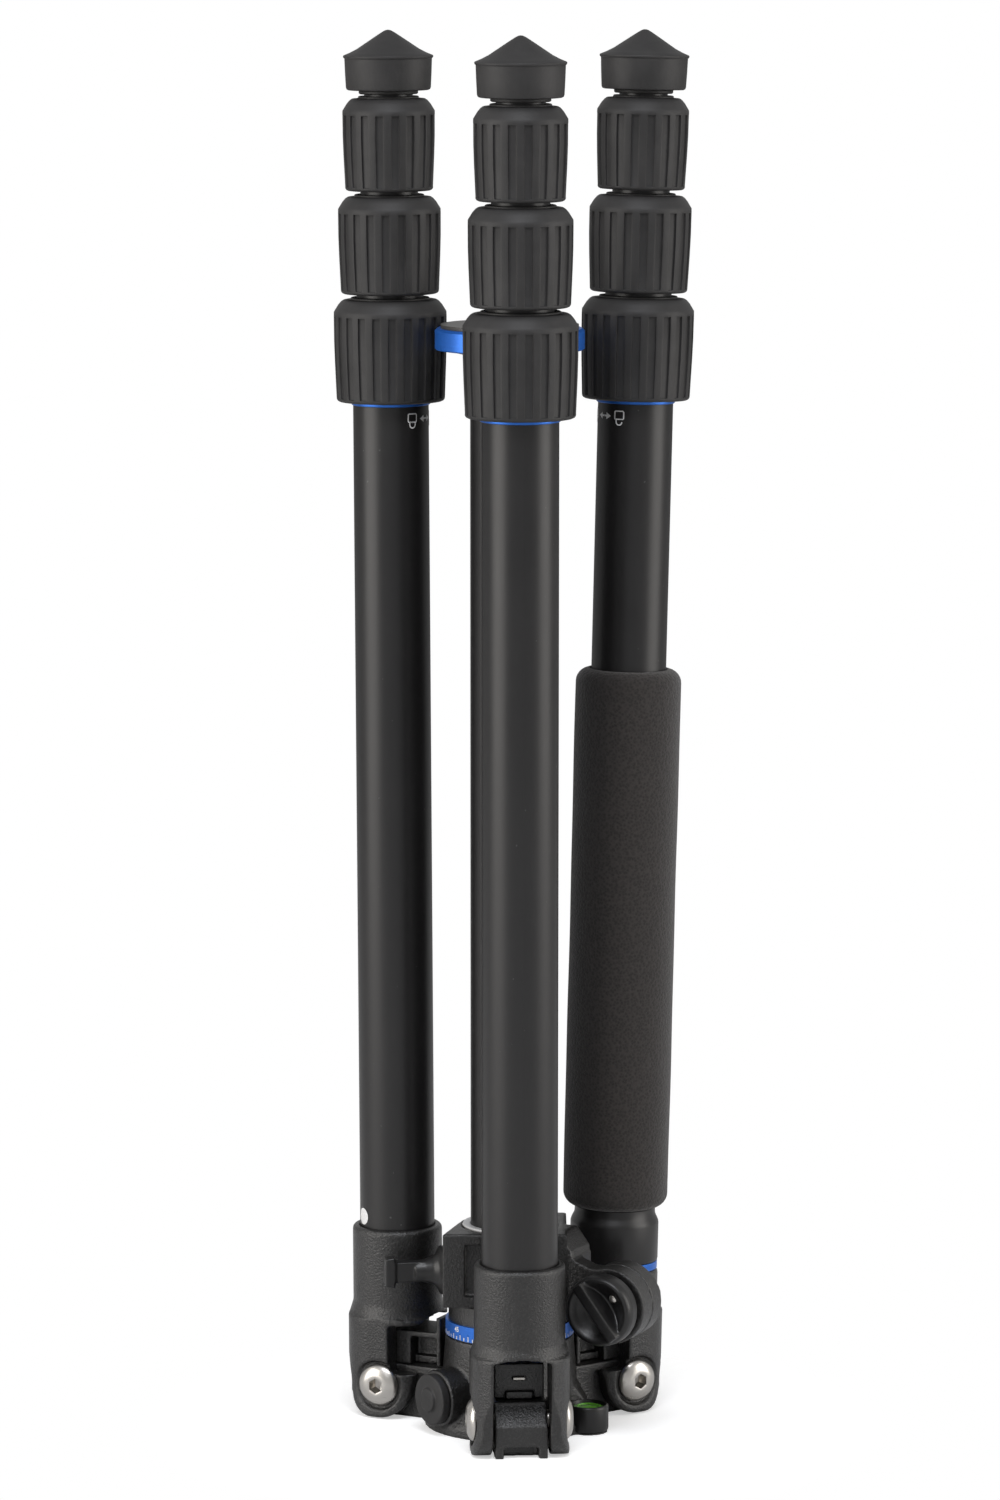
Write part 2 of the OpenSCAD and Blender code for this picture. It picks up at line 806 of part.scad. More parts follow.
module column_collar() {
    color([0.13, 0.13, 0.13])
        difference() {
            union() {
                translate([0, 0, collar_z])
                    linear_extrude(collar_h)
                        collar_plan();
                at_tilt()
                    translate([0, -ear_gap / 2 - ear_w / 2, 0])
                        across(ear_w)
                            collar_arm();
                at_tilt()
                    translate([0, ear_w / 2, 0])
                        intersection() {
                            across(ear_w)
                                collar_arm();
                            translate([-tilt_radius, -ear_w, -barrel_d])
                                cube([tilt_radius - barrel_d / 2 - clear_gap, 2 * ear_w, 2 * barrel_d]);
                        }
                at_knob()
                    translate([0, 0, -knob_boss_l])
                        cylinder(r = knob_boss_r, h = knob_boss_l);
            }
            at_knob()
                cylinder(r = knob_boss_r, h = knob_boss_l);
            translate([0, 0, -over])
                cylinder(r = liner_body_r + run_gap / 2, h = collar_top + 2 * over);
            translate([0, 0, collar_top - liner_lip_h])
                cylinder(r = liner_r + run_gap / 2, h = liner_lip_h + over);
            translate([-recess_x, -collar_front - over, collar_z + recess_low])
                cube([recess_w, recess_depth + over, recess_h]);
            at_tilt()
                rotate([90, 0, 0])
                    cylinder(r = tilt_pin_d / 2 + run_gap / 2, h = 2 * barrel_d, center = true);
            at_knob()
                translate([0, 0, -knob_stud_l - over])
                    cylinder(r = knob_stud_d / 2 + run_gap, h = knob_stud_l + over);
        }
}

module collar_liner() {
    color([0.75, 0.75, 0.76])
        difference() {
            union() {
                translate([0, 0, collar_z])
                    cylinder(r = liner_body_r, h = collar_h);
                translate([0, 0, collar_top - liner_lip_h + run_gap])
                    cylinder(r = liner_r, h = liner_lip_h + liner_lip);
            }
            translate([0, 0, collar_z - over])
                cylinder(r = column_d / 2 + run_gap, h = collar_h + 4 * over);
        }
}

module tilt_pin() {
    color([0.7, 0.7, 0.7])
        at_tilt()
            rotate([90, 0, 180]) {
                translate([0, 0, -ear_w - tilt_knob_h / 2])
                    cylinder(d = tilt_pin_d, h = 2 * ear_w + tilt_knob_h / 2);
                translate([0, 0, ear_w - tilt_recess_t + 3 * run_gap])
                    cylinder(r = tilt_nut_r, h = tilt_nut_t, $fn = 6);
            }
}

module tilt_washer() {
    color([0.8, 0.8, 0.8])
        at_tilt()
            rotate([90, 0, 0])
                ring(tilt_washer_r, tilt_pin_d / 2 + run_gap, ear_w + ear_gap / 2 + run_gap,
                     tilt_washer_t);
}

// Turned outline of the tilt knob: shares of its radius and of its height
tilt_knob_shares = [[0, 0], [0.85, 0], [1, 0.15], [1, 0.4], [0.9, 0.72], [0.66, 1], [0, 1]];
tilt_scoop_lift_share = 0.3;
tilt_knob_start = ear_w + ear_gap / 2 + 2 * run_gap + tilt_washer_t;

// Knob with a fin across it and a scoop for a finger on either side of the fin
module tilt_knob() {
    r = tilt_knob_d / 2;
    color([0.12, 0.12, 0.12])
        at_tilt()
            rotate([90, 0, 0])
                translate([0, 0, tilt_knob_start])
                    rotate([0, 0, tilt_fin_turn])
                        difference() {
                            rotate_extrude()
                                polygon([for (share = tilt_knob_shares) [r * share[0], tilt_knob_h * share[1]]]);
                            for (side = [-1, 1])
                                translate([0, side * (tilt_fin_w / 2 + tilt_scoop_r),
                                           tilt_knob_h + tilt_scoop_r * tilt_scoop_lift_share])
                                    rotate([0, 90, 0])
                                        cylinder(r = tilt_scoop_r, h = 3 * r, center = true);
                            translate([0, 0, -over])
                                cylinder(r = tilt_pin_d / 2 + run_gap,
                                         h = tilt_knob_h / 2 + over + tilt_washer_t);
                        }
}

// Turned outline of the column knob: shares of its radius and of its neck's length
knob_shares = [[0, 0.06], [0.92, 0.06], [1, 0.27], [0.86, 0.38], [0.62, 0.55], [0.48, 0.8],
               [0.43, 1], [0.26, 1.45], [0, 1.45]];

// Puts a shape that stands on the collar's knob seat in its place, its axis along Z
module at_knob() {
    rotate([0, 0, knob_azimuth])
        translate([knob_start, 0, knob_z])
            rotate([0, 90, 0])
                children();
}

module column_knob() {
    r = column_knob_d / 2;
    tip = column_knob_l - knob_tip_r;
    color([0.11, 0.11, 0.11])
        at_knob() {
            rotate_extrude()
                polygon([for (share = knob_shares) [r * share[0], knob_neck_l * share[1]]]);
            translate([-knob_fin_h / 2, -knob_fin_t / 2, knob_neck_l])
                cube([knob_fin_h, knob_fin_t, tip - knob_neck_l]);
            translate([0, 0, tip])
                rotate([0, 90, 0])
                    cylinder(r = knob_tip_r, h = knob_fin_h, center = true);
            translate([0, 0, -knob_stud_l + run_gap])
                cylinder(d = knob_stud_d, h = knob_stud_l + clear_gap * 2);
        }
}

module column_tube() {
    color([0.16, 0.16, 0.17])
        ring(column_d / 2, column_d / 2 - column_wall, column_z, column_l);
}

module column_stop() {
    color([0.12, 0.12, 0.12]) {
        translate([0, 0, column_z - stop_cap_h - run_gap / 2])
            cylinder(r = stop_cap_r, h = stop_cap_h);
        translate([0, 0, column_z - run_gap / 2 - over])
            cylinder(r = column_d / 2 - column_wall - run_gap / 2, h = spigot_l / 2);
    }
}

module platform() {
    color([0.13, 0.13, 0.13])
        difference() {
            union() {
                translate([0, 0, column_top - spigot_l])
                    cylinder(r = column_d / 2 - column_wall - run_gap / 2, h = spigot_l + over);
                translate([0, 0, column_top + run_gap / 2])
                    cylinder(r1 = column_d / 2, r2 = platform_core_r, h = platform_under_t);
                translate([0, 0, platform_z])
                    cylinder(r = platform_core_r, h = platform_ring_h);
            }
            translate([0, 0, platform_top - stud_seat])
                cylinder(r = stud_stem_d / 2 + run_gap, h = stud_seat + over);
        }
}

module platform_ring() {
    r = platform_d / 2;
    inner = platform_core_r + run_gap / 2;
    color([0.1, 0.33, 0.72])
        rotate_extrude()
            polygon([[inner, platform_z], [r - platform_chamfer / 2, platform_z],
                     [r, platform_z + platform_chamfer / 2], [r, platform_top - platform_chamfer],
                     [r - platform_chamfer, platform_top], [inner, platform_top]]);
}

module platform_pad() {
    color([0.62, 0.6, 0.57])
        ring(platform_d / 2 - pad_inset, camera_stud_d / 2 + clear_gap, platform_top + run_gap / 2,
             pad_t);
}

module camera_stud() {
    color([0.75, 0.75, 0.75]) {
        translate([0, 0, platform_top - stud_seat + run_gap])
            cylinder(d = stud_stem_d, h = stud_seat + pad_t);
        translate([0, 0, platform_top + pad_t + run_gap])
            cylinder(d = camera_stud_d, h = camera_stud_l);
    }
}

knuckle(FRONT);  // front_knuckle
upper_tube(FRONT);  // front_upper_tube
trim_ring(FRONT);  // front_trim_ring
lock(FRONT, 0);  // front_lock_1
inner_tube(FRONT, 1);  // front_tube_2
lock(FRONT, 1);  // front_lock_2
inner_tube(FRONT, 2);  // front_tube_3
lock(FRONT, 2);  // front_lock_3
inner_tube(FRONT, 3);  // front_tube_4
foot(FRONT);  // front_foot
angle_stop(FRONT);  // front_angle_stop
knuckle(RIGHT);  // right_knuckle
upper_tube(RIGHT);  // right_upper_tube
trim_ring(RIGHT);  // right_trim_ring
lock(RIGHT, 0);  // right_lock_1
inner_tube(RIGHT, 1);  // right_tube_2
lock(RIGHT, 1);  // right_lock_2
inner_tube(RIGHT, 2);  // right_tube_3
lock(RIGHT, 2);  // right_lock_3
inner_tube(RIGHT, 3);  // right_tube_4
foot(RIGHT);  // right_foot
angle_stop(RIGHT);  // right_angle_stop
knuckle(LEFT);  // left_knuckle
upper_tube(LEFT);  // left_upper_tube
trim_ring(LEFT);  // left_trim_ring
lock(LEFT, 0);  // left_lock_1
inner_tube(LEFT, 1);  // left_tube_2
lock(LEFT, 1);  // left_lock_2
inner_tube(LEFT, 2);  // left_tube_3
lock(LEFT, 2);  // left_lock_3
inner_tube(LEFT, 3);  // left_tube_4
foot(LEFT);  // left_foot
angle_stop(LEFT);  // left_angle_stop
foam_grip();
coupler_sleeve();
coupler_ring();
spider();
pivot_sleeves();
pivot_screws();
level_cup();
level_vial();
accessory_plug();
turntable();
scale_ring();
friction_washer();
column_collar();
collar_liner();
tilt_pin();
tilt_washer();
tilt_knob();
column_knob();
column_tube();
column_stop();
platform();
platform_ring();
platform_pad();
camera_stud();
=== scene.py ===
# %% [markdown]
# A folded travel tripod. The metal frame arrives ready made, at its real size, and this file
# dresses it: rounded castings, ribbed rubber, foam, anodised metal, a camera and soft light.
# The frame is loaded first, because every later piece is placed from it.

# %% Load the frame
import json
import math

import bpy
from mathutils import Matrix, Vector


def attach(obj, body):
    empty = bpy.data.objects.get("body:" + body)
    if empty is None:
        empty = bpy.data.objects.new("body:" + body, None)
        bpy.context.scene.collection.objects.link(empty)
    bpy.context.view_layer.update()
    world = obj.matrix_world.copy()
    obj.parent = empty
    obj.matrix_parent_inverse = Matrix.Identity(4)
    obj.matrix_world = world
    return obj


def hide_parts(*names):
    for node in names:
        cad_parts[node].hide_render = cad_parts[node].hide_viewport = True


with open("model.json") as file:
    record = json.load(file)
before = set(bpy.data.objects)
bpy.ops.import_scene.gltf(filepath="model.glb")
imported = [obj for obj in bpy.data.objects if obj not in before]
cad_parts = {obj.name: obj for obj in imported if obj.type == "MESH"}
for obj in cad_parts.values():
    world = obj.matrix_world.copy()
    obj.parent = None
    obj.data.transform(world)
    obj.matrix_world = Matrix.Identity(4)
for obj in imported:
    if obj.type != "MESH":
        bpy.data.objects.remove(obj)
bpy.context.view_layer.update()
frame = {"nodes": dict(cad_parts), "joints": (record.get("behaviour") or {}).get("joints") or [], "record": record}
nodes = frame["nodes"]
joints = {joint["name"]: joint for joint in frame["joints"]}
mm = 0.001

# %% [markdown]
# The photograph looks at the tripod from about two metres away, a little above its top, with a
# long lens. A camera needs only a place, a point to look at and a focal length; the sensor's
# long side is the picture's height. It comes early, so that each piece can be judged through it.
# The Standard view shows a colour as it is written, without a film curve.

# %% The camera
camera_place = Vector((0.0, -2040 * mm, 521 * mm))
camera_aim = Vector((-3.2 * mm, 0.0, 227.2 * mm))
bpy.ops.object.camera_add(location=camera_place)
camera = bpy.context.object
camera.name = "camera"
camera.rotation_euler = (camera_aim - camera_place).to_track_quat("-Z", "Y").to_euler()
camera.data.sensor_width = 36
camera.data.lens = 150.0
bpy.context.scene.camera = camera
bpy.context.scene.view_settings.view_transform = "Standard"

# %% [markdown]
# A finish is a tree of shader nodes. Written out link by link it is long and hard to read, so two
# small classes do the wiring. A Signal is a number or colour on its way through the tree, and
# ordinary maths on it adds Math nodes. A Finish is one material, and its add method makes any
# other node from its type, its settings and the values of its sockets.

# %% Shader maths written as expressions
class Signal:
    """A value on its way through a finish."""

    def __init__(self, finish, socket):
        self.finish = finish
        self.socket = socket

    def maths(self, operation, other, flipped=False):
        first, second = (other, self) if flipped else (self, other)
        return self.finish.add("ShaderNodeMath", {"operation": operation}, {0: first, 1: second})

    def __add__(self, other):
        return self.maths("ADD", other)

    def __radd__(self, other):
        return self.maths("ADD", other)

    def __sub__(self, other):
        return self.maths("SUBTRACT", other)

    def __rsub__(self, other):
        return self.maths("SUBTRACT", other, flipped=True)

    def __mul__(self, other):
        return self.maths("MULTIPLY", other)

    def __rmul__(self, other):
        return self.maths("MULTIPLY", other)

    def __gt__(self, other):
        return self.maths("GREATER_THAN", other)


class Finish:
    """One material with its shader; steady values are set on the shader's own sockets."""

    def __init__(self, name, **steady):
        self.material = bpy.data.materials.new(name)
        self.material.use_nodes = True
        self.tree = self.material.node_tree
        self.shader = self.tree.nodes["Principled BSDF"]
        for socket, value in steady.items():
            self.shader.inputs[socket.replace("_", " ")].default_value = value
        self.place = self.add("ShaderNodeTexCoord", output="Object")

    def add(self, kind, settings=None, sockets=None, output=0):
        node = self.tree.nodes.new(kind)
        for name, value in (settings or {}).items():
            if name == "stops":
                self.set_stops(node.color_ramp, value)
            else:
                setattr(node, name, value)
        for socket, value in (sockets or {}).items():
            self.feed(node.inputs[socket], value)
        return Signal(self, node.outputs[output])

    def set_stops(self, ramp, stops):
        while len(ramp.elements) < len(stops):
            ramp.elements.new(0.5)
        for element, (position, shade) in zip(ramp.elements, stops):
            element.position = position
            element.color = (*shade, 1) if isinstance(shade, tuple) else (shade, shade, shade, 1)

    def feed(self, socket, value):
        if isinstance(value, Signal):
            self.tree.links.new(value.socket, socket)
        else:
            socket.default_value = value

    def noise(self, scale, detail=2.0, stretch=None):
        """Cloudy noise; scale counts blobs to the metre, and stretch squeezes it along X, Y, Z."""
        place = self.place
        if stretch:
            place = self.add("ShaderNodeMapping", None, {"Vector": place, "Scale": stretch})
        return self.add("ShaderNodeTexNoise", None,
                        {"Vector": place, "Scale": scale, "Detail": detail, "Roughness": 0.6})

    def ramp(self, value, stops):
        return self.add("ShaderNodeValToRGB", {"stops": stops}, {"Fac": value})

    def blend(self, amount, first, second):
        """Mix of two colours."""
        node = self.tree.nodes.new("ShaderNodeMix")
        node.data_type = "RGBA"
        self.feed(node.inputs[0], amount)
        self.feed(node.inputs[6], first)
        self.feed(node.inputs[7], second)
        return Signal(self, node.outputs[2])

    def paint(self, colour=None, roughness=None, metallic=None):
        for name, value in (("Base Color", colour), ("Roughness", roughness), ("Metallic", metallic)):
            if value is not None:
                self.feed(self.shader.inputs[name], value)
        return self

    def relief(self, height, depth, strength=1.0):
        """Bump of a real depth in metres."""
        bump = self.add("ShaderNodeBump", None,
                        {"Height": height, "Distance": depth, "Strength": strength})
        self.feed(self.shader.inputs["Normal"], bump)
        return self


def grey(value):
    return (value, value, value, 1)


# %% [markdown]
# The shoulder's castings are powder coated: nearly black, with a fine pebbled grain that sparkles
# where a lamp grazes it. Two scales of noise make it. The fine one is the powder's grain and lifts
# both colour and bump; the lighter colour on the raised grains is partly the powder's own flecks and
# partly a painted sparkle. The slow one lets the coat's gloss wander, as handled metal does.

# %% Powder coat
def powder_coat():
    coat = Finish("powder_coat", Metallic=0.0, Specular_IOR_Level=0.6)
    grain = coat.noise(1500, 3.0)
    cloud = coat.noise(60, 2.0)
    # Lighter colour where the grain is raised: the powder's own flecks, plus a painted sparkle on them.
    grain_and_sparkle = coat.ramp(grain, [(0.48, 0.0), (0.74, 1.0)])
    colour = coat.blend(grain_and_sparkle, (0.0055, 0.0052, 0.0050, 1), (0.024, 0.023, 0.0225, 1))
    coat.paint(colour=colour, roughness=0.27 + cloud * 0.10)
    return coat.relief(grain, 0.30 * mm, 1.0).material


# %% [markdown]
# The tubes are anodised aluminium: a deep satin black with long soft reflections. Their die marks
# run along them, so the noise is stretched lengthwise. A few pale specks of dust sit on the coat,
# made by keeping only the peaks of a fine noise.

# %% Satin tube
def satin_tube():
    tube = Finish("satin_tube", Specular_IOR_Level=0.42)
    streak = tube.noise(900, 2.0, stretch=(1, 1, 0.02))
    cloud = tube.noise(35, 3.0)
    dust = tube.noise(650, 1.0) > 0.80
    colour = tube.blend(cloud, (0.0085, 0.0080, 0.0082, 1), (0.0120, 0.0114, 0.0116, 1))
    colour = tube.blend(dust * 0.5, colour, grey(0.10))
    tube.paint(colour=colour, roughness=0.30 + streak * 0.06 + cloud * 0.08)
    return tube.relief(streak, 0.01 * mm, 0.4).material


# %% [markdown]
# The twist locks and feet are moulded rubber, a shade lighter and duller than the metal. The mould
# leaves a fine matt grain, and handling leaves paler, drier patches on the raised ribs, which here a
# slow noise scatters over the whole surface.

# %% Moulded rubber
def moulded_rubber():
    rubber = Finish("moulded_rubber", Specular_IOR_Level=0.35)
    grain = rubber.noise(3200, 2.0)
    patch = rubber.ramp(rubber.noise(90, 4.0), [(0.35, 0.0), (0.75, 1.0)])
    colour = rubber.blend(patch, (0.0160, 0.0155, 0.0156, 1), (0.0255, 0.0245, 0.0245, 1))
    rubber.paint(colour=colour, roughness=0.50 + grain * 0.12)
    return rubber.relief(grain, 0.05 * mm, 0.5).material


# %% [markdown]
# The grip is foam rubber: a warm, dull black whose skin is full of tiny burst bubbles. Voronoi
# cells give the pits, noise varies their depth, and a little sheen catches light on the skin. The
# colour is painted darker in the pits than on the skin between them: painted shade in the hollows.

# %% Foam skin
def foam_skin():
    foam = Finish("foam_skin", Specular_IOR_Level=0.22, Sheen_Weight=0.25, Sheen_Roughness=0.5)
    cells = foam.add("ShaderNodeTexVoronoi", None, {"Vector": foam.place, "Scale": 1050})
    fuzz = foam.noise(3000, 3.0)
    cloud = foam.noise(70, 3.0)
    depth = cells * 0.5 + fuzz * 0.5
    # Darker colour where the relief is low: painted shade in the pits.
    pit_shade = foam.ramp(depth, [(0.25, 0.0), (0.62, 1.0)])
    colour = foam.blend(pit_shade, (0.0090, 0.0078, 0.0072, 1), (0.033, 0.0285, 0.0265, 1))
    colour = foam.blend(cloud * 0.35, colour, (0.020, 0.0185, 0.018, 1))
    foam.paint(colour=colour, roughness=0.82 + fuzz * 0.12)
    return foam.relief(depth, 0.35 * mm, 0.8).material


# %% [markdown]
# The blue rings are anodised aluminium. Dye under a clear oxide is a coloured metal, so the shader
# is metallic with a soft gloss, and turning marks run round it as fine rings.

# %% Blue anodising
def blue_anodising():
    blue = Finish("blue_anodising", Metallic=0.55, Specular_IOR_Level=0.6)
    turning = blue.noise(1500, 2.0, stretch=(0.05, 0.05, 1))
    colour = blue.blend(turning, (0.012, 0.105, 0.46, 1), (0.022, 0.155, 0.60, 1))
    blue.paint(colour=colour, roughness=0.30 + turning * 0.12)
    return blue.relief(turning, 0.01 * mm, 0.3).material


# %% [markdown]
# The pivot screws are polished steel with hairline scratches from the key. The scratches are thin
# bands of a stretched noise, which roughen and slightly darken the metal.

# %% Polished steel
def polished_steel():
    steel = Finish("polished_steel", Metallic=1.0)
    hair = steel.ramp(steel.noise(380, 3.0, stretch=(1, 1, 5)), [(0.62, 0.0), (0.68, 1.0)])
    cloud = steel.noise(120, 2.0)
    colour = steel.blend(hair * 0.4, (0.50, 0.48, 0.45, 1), (0.34, 0.32, 0.30, 1))
    steel.paint(colour=colour, roughness=0.24 + hair * 0.08 + cloud * 0.10)
    return steel.relief(hair, 0.004 * mm, 0.2).material


# %% [markdown]
# The knobs and the level's cup are moulded plastic, black with a soft gloss and a faint orange-peel
# skin. One fine noise is its relief, and a slow one lets the gloss wander.

# %% Moulded plastic
def moulded_plastic():
    plastic = Finish("moulded_plastic", Specular_IOR_Level=0.42)
    peel = plastic.noise(1100, 2.0)
    cloud = plastic.noise(80, 3.0)
    colour = plastic.blend(cloud, (0.0055, 0.0052, 0.0053, 1), (0.0095, 0.0092, 0.0094, 1))
    plastic.paint(colour=colour, roughness=0.30 + cloud * 0.14)
    return plastic.relief(peel, 0.03 * mm, 0.5).material


# %% [markdown]
# Four small finishes are left: the pale nylon of the liner and washers, the green liquid of the
# level, the dark pad on the platform, and the white ink of the printed marks.

# %% Nylon, level liquid, pad and ink
def pale_nylon():
    nylon = Finish("pale_nylon", Specular_IOR_Level=0.5)
    cloud = nylon.noise(200, 3.0)
    nylon.paint(colour=nylon.blend(cloud, grey(0.52), grey(0.68)), roughness=0.32 + cloud * 0.15)
    return nylon.relief(cloud, 0.02 * mm, 0.3).material


def level_liquid():
    liquid = Finish("level_liquid", Specular_IOR_Level=0.7, Coat_Weight=0.8, Coat_Roughness=0.05)
    cloud = liquid.noise(260, 2.0)
    colour = liquid.blend(cloud, (0.10, 0.42, 0.03, 1), (0.22, 0.62, 0.07, 1))
    return liquid.paint(colour=colour, roughness=0.12 + cloud * 0.05).material


def rubber_pad():
    pad = Finish("rubber_pad", Specular_IOR_Level=0.45)
    crumb = pad.noise(1400, 4.0)
    pad.paint(colour=pad.blend(crumb, (0.030, 0.028, 0.026, 1), (0.060, 0.056, 0.050, 1)),
              roughness=0.34 + crumb * 0.15)
    return pad.relief(crumb, 0.05 * mm, 0.4).material


def white_ink():
    ink = Finish("white_ink", Specular_IOR_Level=0.3)
    wear = ink.noise(1800, 3.0)
    return ink.paint(colour=ink.blend(wear, grey(0.62), grey(0.82)), roughness=0.5 + wear * 0.2).material


FINISHES = {
    "cast_black": powder_coat(),
    "tube_black": satin_tube(),
    "rubber_black": moulded_rubber(),
    "foam_black": foam_skin(),
    "anodised_blue": blue_anodising(),
    "bright_steel": polished_steel(),
    "black_plastic": moulded_plastic(),
    "liner_grey": pale_nylon(),
    "level_green": level_liquid(),
    "pad_grey": rubber_pad(),
}
INK = white_ink()

# %% [markdown]
# The record names a finish slot for each node, so one loop dresses the whole frame. Pieces made
# later take their finish from the same table.

# %% Dress the frame
slot_of = {part["node"]: part["material_slot"] for part in frame["record"]["subparts"]}
for name, part in nodes.items():
    part.data.materials.clear()
    part.data.materials.append(FINISHES[slot_of[name]])
print("dressed", len(slot_of), "nodes in", len(FINISHES), "finishes")

# %% [markdown]
# Most of a tripod is turned on a lathe. A lathe form can be made by hand from one circle: its
# edges are extruded from height to height and the new ring is scaled to the next radius. One
# helper does that along a list of (radius, height) points, so each turned piece is only a
# profile. A ring through which a tube passes is closed by joining its last ring to its first.

# %% Turning a profile
def clear_selection():
    if bpy.context.object and bpy.context.object.mode != "OBJECT":
        bpy.ops.object.mode_set(mode="OBJECT")
    bpy.ops.object.select_all(action="DESELECT")


def turned(name, profile, sides=96, hollow=False):
    """A lathe form round Z. Radii and heights are in metres; a radius of 0 ends in a point."""
    least = 0.01 * mm
    points = [(max(radius, least), height) for radius, height in profile]
    clear_selection()
    bpy.ops.mesh.primitive_circle_add(vertices=sides, radius=points[0][0],
                                      location=(0, 0, points[0][1]))
    piece = bpy.context.object
    piece.name = name
    bpy.ops.object.transform_apply(location=True, rotation=True, scale=True)
    bpy.ops.object.mode_set(mode="EDIT")
    bpy.ops.mesh.select_mode(type="VERT")
    bpy.ops.mesh.select_all(action="SELECT")
    for (radius, height), (next_radius, next_height) in zip(points, points[1:]):
        bpy.ops.mesh.extrude_edges_move(
            TRANSFORM_OT_translate={"value": (0, 0, next_height - height)})
        growth = next_radius / radius
        bpy.ops.transform.resize(value=(growth, growth, 1), center_override=(0, 0, next_height))
    bpy.ops.mesh.select_all(action="SELECT")
    if hollow:
        bpy.ops.mesh.remove_doubles(threshold=0.002 * mm)
    else:
        bpy.ops.mesh.select_all(action="DESELECT")
        bpy.ops.mesh.select_non_manifold()
        bpy.ops.mesh.edge_face_add()
        bpy.ops.mesh.select_all(action="SELECT")
    bpy.ops.mesh.normals_make_consistent(inside=False)
    bpy.ops.object.mode_set(mode="OBJECT")
    return piece


# %% [markdown]
# Real edges are never sharp: they catch a thin line of light. A Bevel modifier rounds every edge
# that turns by more than a set angle, and smoothing by angle then keeps flat faces flat.

# %% Finishing a piece
def apply_modifier(piece, kind, **settings):
    """Adds a modifier, sets it and applies it."""
    clear_selection()
    bpy.context.view_layer.objects.active = piece
    piece.select_set(True)
    modifier = piece.modifiers.new(kind.lower(), kind)
    for name, value in settings.items():
        setattr(modifier, name, value)
    bpy.ops.object.modifier_apply(modifier=modifier.name)


def round_edges(piece, width, segments=2, angle=28):
    apply_modifier(piece, "BEVEL", width=width, segments=segments, limit_method="ANGLE",
                   angle_limit=math.radians(angle), harden_normals=False)


def smooth(piece, angle=35):
    clear_selection()
    bpy.context.view_layer.objects.active = piece
    piece.select_set(True)
    bpy.ops.object.shade_smooth_by_angle(angle=math.radians(angle))


def settle(piece, place):
    """Moves a piece to its place and writes the place into its mesh."""
    clear_selection()
    bpy.context.view_layer.objects.active = piece
    piece.select_set(True)
    piece.matrix_world = place
    bpy.ops.object.transform_apply(location=True, rotation=True, scale=True)


def dress(piece, slot, body, *replaced):
    """Gives a finished piece its finish, its body and the nodes that it stands for."""
    piece.data.materials.clear()
    piece.data.materials.append(FINISHES[slot])
    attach(piece, body)
    if replaced:
        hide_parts(*replaced)


def copy_of(piece, name):
    """A copy with a mesh of its own."""
    twin = piece.copy()
    twin.data = piece.data.copy()
    twin.name = name
    bpy.context.collection.objects.link(twin)
    return twin


def join(name, pieces):
    """Makes one piece of several."""
    clear_selection()
    for piece in pieces:
        piece.select_set(True)
    bpy.context.view_layer.objects.active = pieces[0]
    bpy.ops.object.join()
    pieces[0].name = name
    return pieces[0]


def in_mm(points):
    """Points written in millimetres, turned into metres."""
    return [(across * mm, up * mm) for across, up in points]


# %% [markdown]
# Every leg leans by its own angle, so its pieces are drawn upright on the leg's pivot and then
# placed. The frame's joints say where the pivot is, which way the tube runs and how it hinges. A
# node's own vertices say where it starts and ends.

# %% Where each leg stands
LEGS = ("front", "right", "left")
UP = Vector((0, 0, 1))


def place_with(x_axis, y_axis, z_axis, origin):
    """A frame with these axes at an origin."""
    place = Matrix((x_axis, y_axis, z_axis)).transposed().to_4x4()
    place.translation = origin
    return place


def hinge_of(leg):
    """The direction and the middle of a leg's hinge."""
    fold = joints[f"{leg}_leg_fold"]
    return Vector(fold["axis"]).normalized(), Vector(fold["pos_m"])


def leg_place(leg):
    hinge, pivot = hinge_of(leg)
    along = Vector(joints[f"{leg}_section_2_slide"]["axis"]).normalized()
    return place_with(hinge.cross(along), hinge, along, pivot)


def span_of(node, axis, place=Matrix.Identity(4)):
    """Where a node starts and ends along one axis of a place."""
    there = place.inverted() @ nodes[node].matrix_world
    along = [(there @ vertex.co)[axis] for vertex in nodes[node].data.vertices]
    return min(along), max(along)


place_of = {leg: leg_place(leg) for leg in LEGS}
for leg, place in place_of.items():
    print(leg, "leg pivots", round(place.translation.xy.length / mm, 1), "mm from the middle")

# %% [markdown]
# Twist locks. Each is a rubber drum, widest at its shoulder and drawn in a little towards the
# rim, with flat-bottomed grooves between broad ribs. The drum is turned first. The faces of each
# groove are then picked by their angle and height and pushed inwards, which leaves crisp walls,
# and a small bevel rounds them. One lock of each size is made and copied to the three legs.

# %% Lock sizes
tube_radius = [12.5 * mm, 11 * mm, 9.5 * mm, 8 * mm]
lock_start = [329.5 * mm, 365.0 * mm, 398.8 * mm]
lock_height = [34.3 * mm, 32.6 * mm, 30.9 * mm]
lock_radius = [18.6 * mm, 16.9 * mm, 15.2 * mm]
rib_counts = [22, 20, 18]
rib_depth = 0.75 * mm
groove_foot = 1.6 * mm
groove_headroom = 8.7 * mm
segments_per_rib = 8


